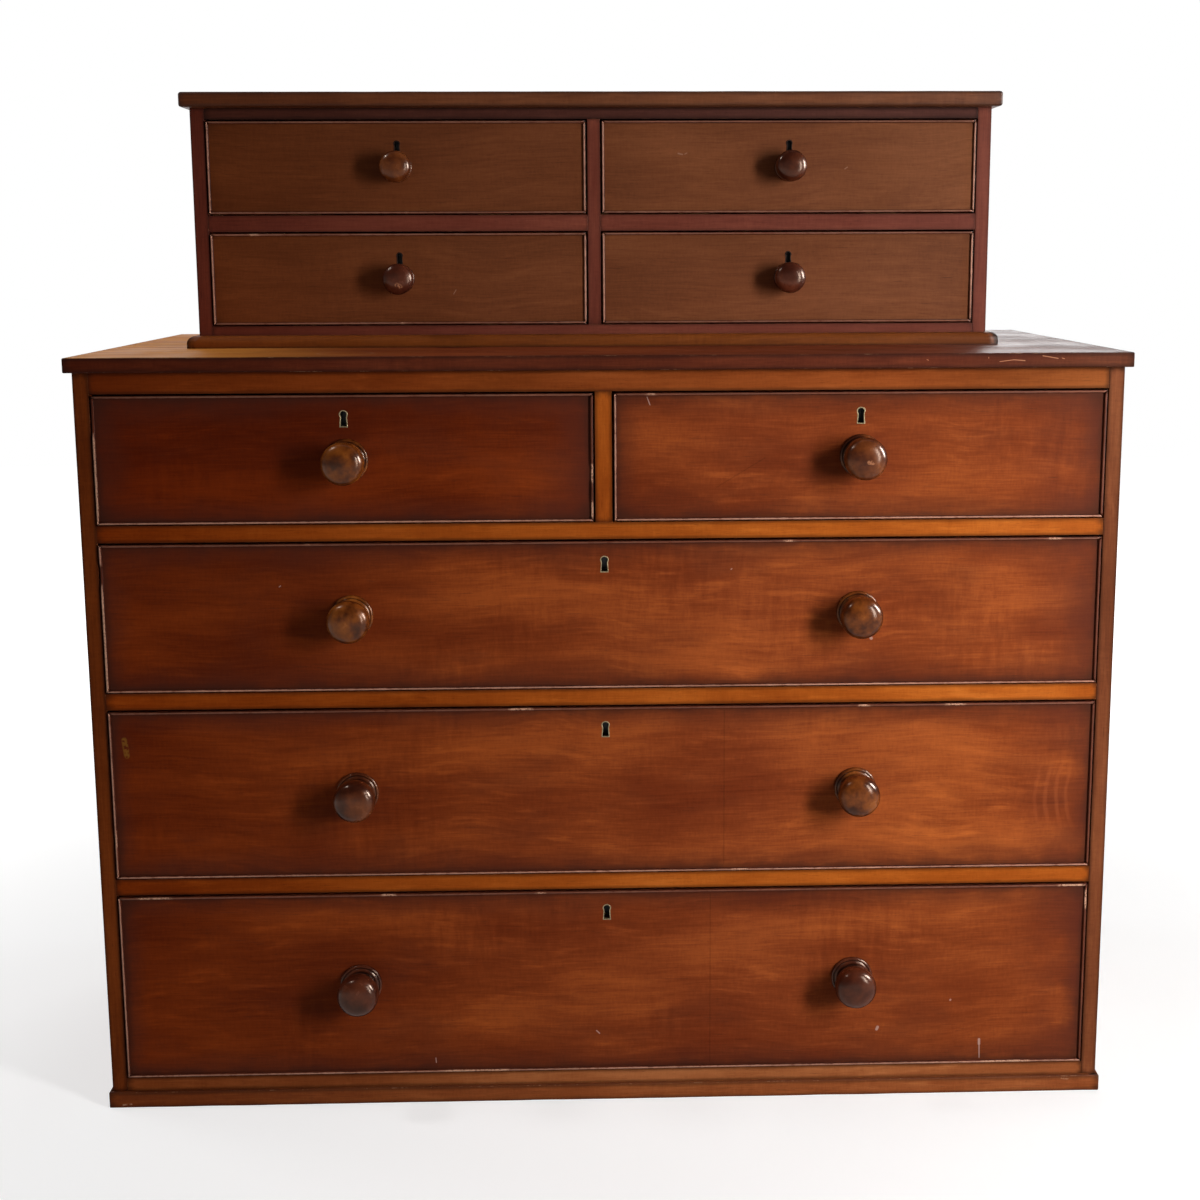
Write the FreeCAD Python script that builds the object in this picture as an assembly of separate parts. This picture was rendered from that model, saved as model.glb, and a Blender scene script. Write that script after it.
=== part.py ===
import FreeCAD, Part
import math
import os
from dataclasses import dataclass

# A nine-drawer mahogany chest: a wide lower case with two short and three long
# drawers, and a smaller case of four little drawers standing on its top.
#
# Millimetres, +Z up.  The solids are drawn with y = 0 on the front of the lower
# case and +y towards the back, then moved so that the origin is at floor level
# under the middle of the whole piece, knobs included.

Vector = FreeCAD.Vector

# ---------------------------------------------------------------- lower case
case_width = 1206.0
case_depth = 550.0
side_thickness = 18.0
rail_thickness = 20.0
rail_depth = 70.0
top_rail_height = 25.0
bottom_rail_height = 17.0
divider_width = 20.0
short_opening_height = 152.0
long_top_opening_height = 179.0
long_middle_opening_height = 208.0
long_bottom_opening_height = 233.0

top_thickness = 17.0
top_front_overhang = 12.0
top_side_overhang = 7.0
top_edge_radius = 2.5

plinth_height = 20.0
plinth_member_width = 70.0
plinth_projection = 4.0
plinth_edge_radius = 2.0

back_board_thickness = 12.0
back_board_count = 5
back_board_gap = 0.8
runner_width = 40.0
centre_runner_width = 80.0
guide_height = 15.0

# ---------------------------------------------------------------- upper case
upper_width = 981.0
upper_setback = 182.0
upper_offset = -8.0
upper_side_thickness = 17.0
upper_rail_thickness = 20.0
upper_rail_depth = 55.0
upper_bottom_rail_height = 26.5
frieze_rail_height = 13.5
upper_divider_width = 16.0
small_opening_height = 115.0

lid_thickness = 18.0
lid_front_overhang = 18.5
lid_side_overhang = 9.5
lid_edge_radius = 4.0

moulding_height = 15.0
moulding_projection = 13.0
moulding_radius = 9.0

upper_back_thickness = 10.0
upper_bottom_thickness = 12.0
upper_runner_width = 30.0
upper_guide_height = 12.0

# ------------------------------------------------------------------- joinery
tenon_thickness = 7.0
tenon_shoulder = 8.0
tenon_length = 10.0
upper_tenon_length = 6.0
housing_depth = 4.0
back_rebate_width = 9.0

# ------------------------------------------------------------------- drawers
run_gap = 0.3
space_behind_lower_drawers = 38.0
space_behind_upper_drawers = 28.0
front_gap_below = 1.5
front_gap_above = 2.0
front_gap_beside = 2.0
side_drop = 2.0
groove_height = 8.0
groove_depth = 4.5
dovetail_slope = 1.0 / 6.0
dovetail_pitch = 42.0
lap_behind_bead = 1.5
muntin_width = 50.0
muntin_thickness = 12.0
muntin_clearance = 6.0
bead_thickness = 3.0
bead_projection = 3.0
bead_nose_rise = 0.9
bead_rebate = 5.5
stop_width = 40.0
stop_depth = 25.0
stop_height = 4.5
stop_gap = 0.3

# How far from a face a point may lie and still count as on it.
on_face = 0.01

# --------------------------------------------------------------------- locks
lock_width = 50.0
lock_height = 44.0
lock_thickness = 9.0
selvedge_length = 70.0
selvedge_thickness = 2.5
bolt_width = 16.0
bolt_thickness = 4.0
bolt_height = 20.0
bolt_throw = 7.0
bolt_gap = 0.3
mortise_gap = 1.5
key_depth = 5.0
liner_wall = 1.2
liner_depth = 4.0


@dataclass
class Keyhole:
    """A keyhole with a round head.  The drop is from the opening's top to its middle."""

    head_radius: float
    neck: float
    waist: float
    foot: float
    height: float
    drop: float


large_keyhole = Keyhole(head_radius=3.9, neck=3.5, waist=5.8, foot=7.4, height=17.4, drop=29.5)
small_keyhole = Keyhole(head_radius=3.0, neck=2.7, waist=4.6, foot=5.8, height=13.2, drop=33.0)


# --------------------------------------------------------------------- knobs
@dataclass
class Knob:
    """A turned knob.  Its depths are counted outwards from the drawer's face."""

    ball_radius: float
    ball_depth: float
    crown_depth: float
    crown_radius: float
    ring_radius: float
    ring_thickness: float
    neck_radius: float
    tenon_radius: float
    tenon_length: float


large_knob = Knob(
    ball_radius=25.0,
    ball_depth=27.0,
    crown_depth=46.5,
    crown_radius=60.0,
    ring_radius=23.5,
    ring_thickness=5.0,
    neck_radius=15.0,
    tenon_radius=9.0,
    tenon_length=16.0,
)
small_knob = Knob(
    ball_radius=19.0,
    ball_depth=20.5,
    crown_depth=35.3,
    crown_radius=46.0,
    ring_radius=17.8,
    ring_thickness=4.0,
    neck_radius=11.5,
    tenon_radius=7.0,
    tenon_length=13.0,
)

# ------------------------------------------------------------- derived sizes
dovetail_lap = bead_rebate + lap_behind_bead
inner_half = case_width / 2 - side_thickness
upper_inner_half = upper_width / 2 - upper_side_thickness
back_front = case_depth - back_board_thickness
upper_back_front = case_depth - upper_back_thickness
upper_rail_back = upper_setback + upper_rail_depth

long_bottom_level = plinth_height + bottom_rail_height
long_middle_level = long_bottom_level + long_bottom_opening_height + rail_thickness
long_top_level = long_middle_level + long_middle_opening_height + rail_thickness
short_level = long_top_level + long_top_opening_height + rail_thickness
short_top = short_level + short_opening_height
case_top = short_top + top_rail_height
upper_base = case_top + top_thickness

small_low_level = upper_base + upper_bottom_rail_height
small_low_top = small_low_level + small_opening_height
small_high_level = small_low_top + upper_rail_thickness
small_high_top = small_high_level + small_opening_height
upper_top = small_high_top + frieze_rail_height

short_centre = (inner_half + divider_width / 2) / 2
small_centre = (upper_inner_half + upper_divider_width / 2) / 2


@dataclass
class Maker:
    """What the drawers of one case have in common, with the depths of their two ends."""

    face: float
    end: float
    front_thickness: float
    side_thickness: float
    back_thickness: float
    bottom_thickness: float
    keyhole: Keyhole
    knob: Knob


lower_maker = Maker(
    face=0.0,
    end=back_front - space_behind_lower_drawers,
    front_thickness=22.0,
    side_thickness=11.0,
    back_thickness=10.0,
    bottom_thickness=6.0,
    keyhole=large_keyhole,
    knob=large_knob,
)
upper_maker = Maker(
    face=upper_setback,
    end=upper_back_front - space_behind_upper_drawers,
    front_thickness=18.0,
    side_thickness=8.0,
    back_thickness=8.0,
    bottom_thickness=5.0,
    keyhole=small_keyhole,
    knob=small_knob,
)


@dataclass
class Drawer:
    """One drawer: the opening that it fills, and where its knobs stand."""

    name: str
    maker: Maker
    centre: float
    opening_width: float
    level: float
    opening_height: float
    knob_offsets: tuple
    has_muntin: bool = False

    @property
    def left(self):
        return self.centre - self.opening_width / 2 + front_gap_beside

    @property
    def right(self):
        return self.centre + self.opening_width / 2 - front_gap_beside

    @property
    def bottom(self):
        return self.level + front_gap_below

    @property
    def top(self):
        return self.level + self.opening_height - front_gap_above

    @property
    def side_bottom(self):
        return self.level + run_gap

    @property
    def side_top(self):
        return self.top - side_drop

    @property
    def panel_bottom(self):
        return self.side_bottom + groove_height

    @property
    def panel_top(self):
        return self.panel_bottom + self.maker.bottom_thickness

    @property
    def front_back(self):
        return self.maker.face + self.maker.front_thickness

    @property
    def middle_height(self):
        return (self.bottom + self.top) / 2

    @property
    def key_height(self):
        return self.level + self.opening_height - self.maker.keyhole.drop


# ------------------------------------------------------------------- helpers
def box(x0, x1, y0, y1, z0, z1):
    return Part.makeBox(x1 - x0, y1 - y0, z1 - z0, Vector(x0, y0, z0))


def prism(points, direction):
    """A straight-sided solid: a closed outline pushed along a direction."""
    outline = Part.makePolygon([Vector(*p) for p in points + points[:1]])
    return Part.Face(outline).extrude(Vector(*direction))


def joined(solids):
    """One solid made of overlapping or touching pieces, with no seams left."""
    return solids[0].fuse(solids[1:]).removeSplitter()


def without(shape, cutters):
    return shape.cut(cutters) if cutters else shape


def mirrored(shape, x):
    return shape.mirror(Vector(x, 0, 0), Vector(1, 0, 0))


def rounded(shape, radius, wanted):
    """Rounds the edges whose middle point satisfies a test."""
    edges = [e for e in shape.Edges if wanted(e.valueAt((e.FirstParameter + e.LastParameter) / 2))]
    return shape.makeFillet(radius, edges)


# --------------------------------------------------------- both cases' parts
def rail(x0, x1, face, depth, z0, z1, left_tenon, right_tenon):
    """A horizontal front rail with a stub tenon at each end."""
    middle = (z0 + z1) / 2
    tenon = box(
        x0 - left_tenon,
        x1 + right_tenon,
        face + tenon_shoulder,
        face + depth - tenon_shoulder,
        middle - tenon_thickness / 2,
        middle + tenon_thickness / 2,
    )
    return joined([box(x0, x1, face, face + depth, z0, z1), tenon])


def divider(centre, width, face, depth, z0, z1, tenon):
    """The upright between two drawers, tenoned into the rails."""
    body = box(centre - width / 2, centre + width / 2, face, face + depth, z0, z1)
    stub = box(
        centre - tenon_thickness / 2,
        centre + tenon_thickness / 2,
        face + tenon_shoulder,
        face + depth - tenon_shoulder,
        z0 - tenon,
        z1 + tenon,
    )
    return joined([body, stub])


def edge_runners(centre, inner, width, y0, y1, z0, z1):
    """The pair of strips housed in the two sides of a case."""
    left = box(centre - inner - housing_depth, centre - inner + width, y0, y1, z0, z1)
    return [left, mirrored(left, centre)]


def drawer_stops(drawer):
    """Two blocks on the rail that meet the back of the closed drawer's front."""
    start = drawer.front_back + stop_gap
    stops = []
    for x in (drawer.centre - drawer.opening_width / 4, drawer.centre + drawer.opening_width / 4):
        stops.append(
            box(
                x - stop_width / 2,
                x + stop_width / 2,
                start,
                start + stop_depth,
                drawer.level,
                drawer.level + stop_height,
            )
        )
    return stops


def bolt_mortises(drawers):
    """The slots over the closed drawers that their lock bolts rise into."""
    slots = []
    for drawer in drawers:
        middle = lock_middle(drawer)
        underside = drawer.level + drawer.opening_height
        slots.append(
            box(
                drawer.centre - bolt_width / 2 - mortise_gap,
                drawer.centre + bolt_width / 2 + mortise_gap,
                middle - bolt_thickness / 2 - mortise_gap,
                middle + bolt_thickness / 2 + mortise_gap,
                underside - mortise_gap,
                underside - front_gap_above + bolt_throw + mortise_gap,
            )
        )
    return slots


# ---------------------------------------------------------------- lower case
def plinth_frame():
    """Four flat members, mitred at the front corners, butted at the back."""
    half = case_width / 2 + plinth_projection
    front = -plinth_projection
    inner = half - plinth_member_width
    up = (0, 0, plinth_height)
    inner_front = front + plinth_member_width
    front_member = prism(
        [(-half, front, 0), (half, front, 0), (inner, inner_front, 0), (-inner, inner_front, 0)], up
    )
    left_member = prism(
        [(-half, front, 0), (-inner, inner_front, 0), (-inner, case_depth, 0), (-half, case_depth, 0)], up
    )
    front_member = rounded(
        front_member, plinth_edge_radius, lambda p: p.y < front + on_face and p.z > plinth_height - on_face
    )
    left_member = rounded(
        left_member, plinth_edge_radius, lambda p: p.x < -half + on_face and p.z > plinth_height - on_face
    )
    back_member = box(-inner, inner, case_depth - plinth_member_width, case_depth, 0, plinth_height)
    return [front_member, left_member, mirrored(left_member, 0), back_member]


def lower_rails(drawers):
    """Top, dividing and bottom rails of the lower case, from the top down."""
    spans = [
        (short_top, case_top),
        (short_level - rail_thickness, short_level),
        (long_top_level - rail_thickness, long_top_level),
        (long_middle_level - rail_thickness, long_middle_level),
        (plinth_height, long_bottom_level),
    ]
    slots = bolt_mortises(drawers)
    post = lower_divider()
    rails = []
    for z0, z1 in spans:
        bar = rail(-inner_half, inner_half, 0, rail_depth, z0, z1, tenon_length, tenon_length)
        rails.append(without(bar, slots + [post]))
    return rails


def lower_divider():
    return divider(0, divider_width, 0, rail_depth, short_level, short_top, tenon_length)


def lower_runners():
    """Strips that carry the drawers, and the guides between the short ones."""
    strips = edge_runners(
        0, inner_half, runner_width, rail_depth, back_front, plinth_height, long_bottom_level
    )
    for level in (long_middle_level, long_top_level, short_level):
        strips += edge_runners(
            0, inner_half, runner_width, rail_depth, back_front, level - rail_thickness, level
        )
    half = centre_runner_width / 2
    strips.append(box(-half, half, rail_depth, back_front, short_level - rail_thickness, short_level))
    guide = divider_width / 2
    strips.append(box(-guide, guide, rail_depth, back_front, short_level, short_level + guide_height))
    return strips


def lower_kickers():
    """Strips under the top that keep an open short drawer from tipping."""
    strips = edge_runners(0, inner_half, runner_width, rail_depth, back_front, short_top, case_top)
    half = centre_runner_width / 2
    return strips + [box(-half, half, rail_depth, back_front, short_top, case_top)]


def lower_back_boards():
    """Upright boards in the sides' rebates, with a shrinkage gap between them."""
    start = -inner_half - back_rebate_width
    pitch = (2 * -start + back_board_gap) / back_board_count
    boards = []
    for i in range(back_board_count):
        x = start + i * pitch
        boards.append(
            box(x, x + pitch - back_board_gap, back_front, case_depth, plinth_height, case_top)
        )
    return boards


def lower_side(housed):
    """The left side panel, cut for everything that is let into it."""
    panel = box(-case_width / 2, -inner_half, 0, case_depth, plinth_height, case_top)
    rebate = box(
        -inner_half - back_rebate_width, -inner_half, back_front, case_depth, plinth_height, case_top
    )
    return without(panel, housed + [rebate])


def lower_top():
    half = case_width / 2 + top_side_overhang
    board = box(-half, half, -top_front_overhang, case_depth, case_top, upper_base)
    return rounded(
        board,
        top_edge_radius,
        lambda p: p.y < case_depth - on_face
        and abs(p.z - (case_top + upper_base) / 2) > top_thickness / 4
        and (p.y < 0 or abs(p.x) > half - on_face),
    )


# ---------------------------------------------------------------- upper case
def upper_frieze_rail(drawers):
    x0 = upper_offset - upper_inner_half
    x1 = upper_offset + upper_inner_half
    bar = rail(
        x0,
        x1,
        upper_setback,
        upper_rail_depth,
        small_high_top,
        upper_top,
        upper_tenon_length,
        upper_tenon_length,
    )
    return without(bar, bolt_mortises(drawers) + [upper_divider_post()])


def upper_middle_rails(drawers):
    """The two rails between the little drawers, one each side of the divider."""
    edge = upper_divider_width / 2
    divider_tenon = upper_divider_width / 3
    left = rail(
        upper_offset - upper_inner_half,
        upper_offset - edge,
        upper_setback,
        upper_rail_depth,
        small_low_top,
        small_high_level,
        upper_tenon_length,
        divider_tenon,
    )
    slots = bolt_mortises(drawers)
    return [without(left, slots), without(mirrored(left, upper_offset), slots)]


def upper_bottom_rail():
    bar = rail(
        upper_offset - upper_inner_half,
        upper_offset + upper_inner_half,
        upper_setback,
        upper_rail_depth,
        upper_base,
        small_low_level,
        upper_tenon_length,
        upper_tenon_length,
    )
    return without(bar, [upper_divider_post()])


def upper_divider_post():
    return divider(
        upper_offset,
        upper_divider_width,
        upper_setback,
        upper_rail_depth,
        small_low_level,
        small_high_top,
        upper_tenon_length,
    )


def upper_bottom_board():
    """The board behind the bottom rail, housed in the sides, that the low drawers run on."""
    half = upper_inner_half + housing_depth
    return box(
        upper_offset - half,
        upper_offset + half,
        upper_rail_back,
        upper_back_front,
        small_low_level - upper_bottom_thickness,
        small_low_level,
    )


def upper_runners():
    """Strips under, over and between the little drawers."""
    y0 = upper_rail_back
    y1 = upper_back_front
    strips = edge_runners(
        upper_offset, upper_inner_half, upper_runner_width, y0, y1, small_low_top, small_high_level
    )
    strips += edge_runners(
        upper_offset, upper_inner_half, upper_runner_width, y0, y1, small_high_top, upper_top
    )
    left = upper_offset - upper_runner_width
    right = upper_offset + upper_runner_width
    strips.append(box(left, right, y0, y1, small_low_top, small_high_level))
    strips.append(box(left, right, y0, y1, small_high_top, upper_top))
    guide = upper_divider_width / 2
    for level in (small_low_level, small_high_level):
        strips.append(
            box(upper_offset - guide, upper_offset + guide, y0, y1, level, level + upper_guide_height)
        )
    return strips


def upper_back_panel():
    half = upper_inner_half + back_rebate_width
    return box(
        upper_offset - half, upper_offset + half, upper_back_front, case_depth, upper_base, upper_top
    )


def upper_side(housed):
    outer = upper_offset - upper_width / 2
    inner = upper_offset - upper_inner_half
    panel = box(outer, inner, upper_setback, case_depth, upper_base, upper_top)
    rebate = box(inner - back_rebate_width, inner, upper_back_front, case_depth, upper_base, upper_top)
    return without(panel, housed + [rebate])


def upper_lid():
    half = upper_width / 2 + lid_side_overhang
    front = upper_setback - lid_front_overhang
    board = box(
        upper_offset - half, upper_offset + half, front, case_depth, upper_top, upper_top + lid_thickness
    )
    return rounded(
        board,
        lid_edge_radius,
        lambda p: p.y < case_depth - on_face
        and abs(p.z - upper_top - lid_thickness / 2) > lid_thickness / 4
        and (p.y < front + on_face or abs(p.x - upper_offset) > half - on_face),
    )


def moulding_face(place, outward):
    """The moulding's section, a square strip with a quarter-round top."""
    corner = moulding_projection - moulding_radius
    shoulder = moulding_height - moulding_radius
    middle = corner + moulding_radius * math.cos(math.pi / 4)
    crown = shoulder + moulding_radius * math.sin(math.pi / 4)

    def point(out, height):
        return place + outward * out + Vector(0, 0, height)

    edges = [
        Part.makeLine(point(0, 0), point(moulding_projection, 0)),
        Part.makeLine(point(moulding_projection, 0), point(moulding_projection, shoulder)),
        Part.Arc(
            point(moulding_projection, shoulder), point(middle, crown), point(corner, moulding_height)
        ).toShape(),
        Part.makeLine(point(corner, moulding_height), point(0, moulding_height)),
        Part.makeLine(point(0, moulding_height), point(0, 0)),
    ]
    return Part.Face(Part.Wire(edges))


def base_moulding():
    """Front strip and two returns round the foot of the upper case, mitred."""
    half = upper_width / 2
    reach = moulding_projection
    x0 = upper_offset - half
    x1 = upper_offset + half
    y0 = upper_setback
    up = (0, 0, moulding_height)
    base = upper_base
    front_strip = moulding_face(Vector(x0 - reach, y0, base), Vector(0, -1, 0))
    front_strip = front_strip.extrude(Vector(2 * (half + reach), 0, 0))
    front_plan = prism(
        [(x0 - reach, y0 - reach, base), (x1 + reach, y0 - reach, base), (x1, y0, base), (x0, y0, base)],
        up,
    )
    side_strip = moulding_face(Vector(x0, y0 - reach, base), Vector(-1, 0, 0))
    side_strip = side_strip.extrude(Vector(0, case_depth - y0 + reach, 0))
    side_plan = prism(
        [
            (x0 - reach, y0 - reach, base),
            (x0, y0, base),
            (x0, case_depth, base),
            (x0 - reach, case_depth, base),
        ],
        up,
    )
    side_strip = side_strip.common(side_plan)
    return [front_strip.common(front_plan), side_strip, mirrored(side_strip, upper_offset)]


# ------------------------------------------------------------------- drawers
def dovetail_row(x0, x1, root, tip, z0, z1):
    """Tails that widen from the root to the tip, along an end of a drawer side."""
    count = max(2, round((z1 - z0) / dovetail_pitch))
    pitch = (z1 - z0) / count
    narrow = pitch / 4
    flare = abs(tip - root) * dovetail_slope
    tails = []
    for i in range(count):
        middle = z0 + (i + 0.5) * pitch
        outline = [
            (x0, root, middle - narrow),
            (x0, tip, middle - narrow - flare),
            (x0, tip, middle + narrow + flare),
            (x0, root, middle + narrow),
        ]
        tails.append(prism(outline, (x1 - x0, 0, 0)))
    return tails


def drawer_bottom(drawer):
    """The bottom panels in their grooves, and the muntin of a wide drawer."""
    maker = drawer.maker
    x0 = drawer.left + maker.side_thickness - groove_depth
    x1 = drawer.right - maker.side_thickness + groove_depth
    y0 = drawer.front_back - groove_depth
    panel = box(x0, x1, y0, maker.end, drawer.panel_bottom, drawer.panel_top)
    if not drawer.has_muntin:
        return [panel]
    low = drawer.side_bottom + muntin_clearance
    muntin = box(
        drawer.centre - muntin_width / 2,
        drawer.centre + muntin_width / 2,
        drawer.front_back,
        maker.end,
        low,
        low + muntin_thickness,
    )
    gap = box(
        drawer.centre - muntin_width / 2 + groove_depth,
        drawer.centre + muntin_width / 2 - groove_depth,
        y0,
        maker.end,
        drawer.panel_bottom,
        drawer.panel_top,
    )
    panels = panel.cut(gap)
    return panels.Solids + [muntin.cut(panels)]


def drawer_tails(drawer):
    """The left side's tails: lapped by the front, and right through the back."""
    maker = drawer.maker
    x0 = drawer.left
    x1 = drawer.left + maker.side_thickness
    front = dovetail_row(
        x0, x1, drawer.front_back, maker.face + dovetail_lap, drawer.bottom, drawer.side_top
    )
    back = dovetail_row(
        x0, x1, maker.end - maker.back_thickness, maker.end, back_bottom(drawer), drawer.side_top
    )
    return front, back


def back_bottom(drawer):
    """The back stands on the bottom, or on the muntin where there is one."""
    if drawer.has_muntin:
        return drawer.side_bottom + muntin_clearance + muntin_thickness
    return drawer.panel_top


def drawer_box(drawer, bottom):
    """Two dovetailed sides, the back and the bottom."""
    maker = drawer.maker
    x0 = drawer.left
    x1 = drawer.left + maker.side_thickness
    front_tails, back_tails = drawer_tails(drawer)
    shoulder = maker.end - maker.back_thickness
    panel = box(x0, x1, drawer.front_back, shoulder, drawer.side_bottom, drawer.side_top)
    heel = box(x0, x1, shoulder, maker.end, drawer.side_bottom, back_bottom(drawer))
    left = without(joined([panel, heel] + front_tails + back_tails), bottom)
    right = mirrored(left, drawer.centre)
    back = box(
        drawer.left, drawer.right, shoulder, maker.end, back_bottom(drawer), drawer.side_top
    )
    back = without(back, back_tails + [mirrored(t, drawer.centre) for t in back_tails])
    return [left, right, back] + bottom


def keyhole_outline(drawer, grow):
    """A round head, a waist and a flared foot, as a face on the drawer's front."""
    shape = drawer.maker.keyhole
    bottom = drawer.key_height - shape.height / 2 - grow
    top = drawer.key_height + shape.height / 2 + grow
    radius = shape.head_radius + grow
    head = top - radius
    waist = shape.waist / 2 + grow
    foot = shape.foot / 2 + grow

    def point(across, height):
        return Vector(drawer.centre + across, drawer.maker.face, height)

    corners = [
        point(radius, head),
        point(waist, head - shape.neck),
        point(foot, bottom),
        point(-foot, bottom),
        point(-waist, head - shape.neck),
        point(-radius, head),
    ]
    edges = [Part.makeLine(a, b) for a, b in zip(corners, corners[1:])]
    edges.append(Part.Arc(corners[-1], point(0, top), corners[0]).toShape())
    return Part.Face(Part.Wire(edges))


def keyhole(drawer, grow, depth):
    return keyhole_outline(drawer, grow).extrude(Vector(0, depth, 0))


def keyhole_liner(drawer):
    """The thin brass lining let into the keyhole's mouth."""
    return keyhole(drawer, liner_wall, liner_depth).cut(keyhole(drawer, 0, liner_depth))


def bead_strip(start, length, across):
    """A strip with a rounded nose that stands proud of the front."""
    shoulder = bead_nose_rise - bead_projection

    def point(depth, out):
        return start + Vector(0, depth, 0) + across * out

    edges = [
        Part.makeLine(point(shoulder, 0), point(bead_rebate, 0)),
        Part.makeLine(point(bead_rebate, 0), point(bead_rebate, bead_thickness)),
        Part.makeLine(point(bead_rebate, bead_thickness), point(shoulder, bead_thickness)),
        Part.Arc(
            point(shoulder, bead_thickness), point(-bead_projection, bead_thickness / 2), point(shoulder, 0)
        ).toShape(),
    ]
    return Part.Face(Part.Wire(edges)).extrude(length)


def cock_beads(drawer):
    """Four strips round the drawer front, mitred at the corners."""
    x0 = drawer.left
    x1 = drawer.right
    z0 = drawer.bottom
    z1 = drawer.top
    t = bead_thickness
    y = drawer.maker.face
    front = y - bead_projection
    depth = (0, bead_projection + bead_rebate, 0)
    low = bead_strip(Vector(x0, y, z0), Vector(x1 - x0, 0, 0), Vector(0, 0, 1))
    low_plan = prism(
        [(x0, front, z0), (x1, front, z0), (x1 - t, front, z0 + t), (x0 + t, front, z0 + t)], depth
    )
    high = bead_strip(Vector(x0, y, z1), Vector(x1 - x0, 0, 0), Vector(0, 0, -1))
    high_plan = prism(
        [(x0, front, z1), (x0 + t, front, z1 - t), (x1 - t, front, z1 - t), (x1, front, z1)], depth
    )
    left = bead_strip(Vector(x0, y, z0), Vector(0, 0, z1 - z0), Vector(1, 0, 0))
    left_plan = prism(
        [(x0, front, z0), (x0 + t, front, z0 + t), (x0 + t, front, z1 - t), (x0, front, z1)], depth
    )
    left = left.common(left_plan)
    return [low.common(low_plan), high.common(high_plan), left, mirrored(left, drawer.centre)]


def bead_rebates(drawer):
    """What the front loses to the beads let into its edges."""
    y0 = drawer.maker.face
    y1 = y0 + bead_rebate
    whole = box(drawer.left, drawer.right, y0, y1, drawer.bottom, drawer.top)
    field = box(
        drawer.left + bead_thickness,
        drawer.right - bead_thickness,
        y0,
        y1,
        drawer.bottom + bead_thickness,
        drawer.top - bead_thickness,
    )
    return whole.cut(field)


def crown_centre(knob):
    """How far behind the face the centre of the crown's large sphere lies."""
    rim = math.sqrt(knob.ball_radius**2 - (knob.crown_depth - knob.ball_depth) ** 2)
    return math.sqrt(knob.crown_radius**2 - rim**2) - knob.crown_depth


def knob_tip(knob):
    """How far the middle of the crown stands out from the drawer's face."""
    return knob.crown_radius - crown_centre(knob)


def knob_profile(knob):
    """Half of the knob's section: tenon, ring, neck, ball and flattened crown."""
    neck_depth = knob.ball_depth - math.sqrt(knob.ball_radius**2 - knob.neck_radius**2)
    rim = math.sqrt(knob.ball_radius**2 - (knob.crown_depth - knob.ball_depth) ** 2)
    half_rim = knob.crown_radius * math.sin(math.asin(rim / knob.crown_radius) / 2)
    half_depth = math.sqrt(knob.crown_radius**2 - half_rim**2) - crown_centre(knob)

    def point(radius, depth):
        return Vector(radius, -depth, 0)

    corners = [
        point(0, knob_tip(knob)),
        point(0, -knob.tenon_length),
        point(knob.tenon_radius, -knob.tenon_length),
        point(knob.tenon_radius, 0),
        point(knob.ring_radius, 0),
        point(knob.ring_radius, knob.ring_thickness),
        point(knob.neck_radius, neck_depth),
    ]
    edges = [Part.makeLine(a, b) for a, b in zip(corners, corners[1:])]
    waist = point(knob.neck_radius, neck_depth)
    belly = point(knob.ball_radius, knob.ball_depth)
    edge = point(rim, knob.crown_depth)
    edges.append(Part.Arc(waist, belly, edge).toShape())
    edges.append(Part.Arc(edge, point(half_rim, half_depth), corners[0]).toShape())
    return Part.Face(Part.Wire(edges))


def turned_knob(drawer, offset):
    turned = knob_profile(drawer.maker.knob).revolve(Vector(0, 0, 0), Vector(0, 1, 0), 360)
    turned.translate(Vector(drawer.centre + offset, drawer.maker.face, drawer.middle_height))
    return turned


def lock_middle(drawer):
    """The depth at which the lock's bolt slides."""
    return drawer.front_back - lock_thickness / 2


def bolt_slot(drawer, gap):
    """The space of the bolt, grown by a gap."""
    middle = lock_middle(drawer)
    return box(
        drawer.centre - bolt_width / 2 - gap,
        drawer.centre + bolt_width / 2 + gap,
        middle - bolt_thickness / 2 - gap,
        middle + bolt_thickness / 2 + gap,
        drawer.top - bolt_height - gap,
        drawer.top,
    )


def lock_body(drawer):
    """The lock's case and the selvedge plate on the front's top edge, as one casting."""
    y0 = drawer.front_back - lock_thickness
    case = box(
        drawer.centre - lock_width / 2,
        drawer.centre + lock_width / 2,
        y0,
        drawer.front_back,
        drawer.top - lock_height,
        drawer.top,
    )
    selvedge = box(
        drawer.centre - selvedge_length / 2,
        drawer.centre + selvedge_length / 2,
        y0,
        drawer.front_back,
        drawer.top - selvedge_thickness,
        drawer.top,
    )
    return joined([case, selvedge])


def lock(drawer):
    """The lock, with the bolt's slot and the slot that the key's bit turns in."""
    y0 = drawer.front_back - lock_thickness
    shape = drawer.maker.keyhole
    key_slot = box(
        drawer.centre - shape.waist / 2,
        drawer.centre + shape.waist / 2,
        y0,
        y0 + key_depth,
        drawer.key_height - shape.height / 2,
        drawer.key_height + shape.height / 2,
    )
    return without(lock_body(drawer), [bolt_slot(drawer, bolt_gap), key_slot])


def drawer_front(drawer, bottom):
    """The front board, cut for beads, dovetails, bottom, lock, key and knobs."""
    maker = drawer.maker
    board = box(
        drawer.left, drawer.right, maker.face, drawer.front_back, drawer.bottom, drawer.top
    )
    tails, _ = drawer_tails(drawer)
    knobs = [turned_knob(drawer, offset) for offset in drawer.knob_offsets]
    liner_seat = keyhole(drawer, liner_wall, liner_depth)
    key_way = keyhole(drawer, 0, maker.front_thickness)
    cuts = [bead_rebates(drawer), lock_body(drawer), liner_seat, key_way]
    cuts += tails + [mirrored(t, drawer.centre) for t in tails]
    board = without(board, cuts + bottom + knobs)
    return [board, keyhole_liner(drawer)] + cock_beads(drawer) + knobs


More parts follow.
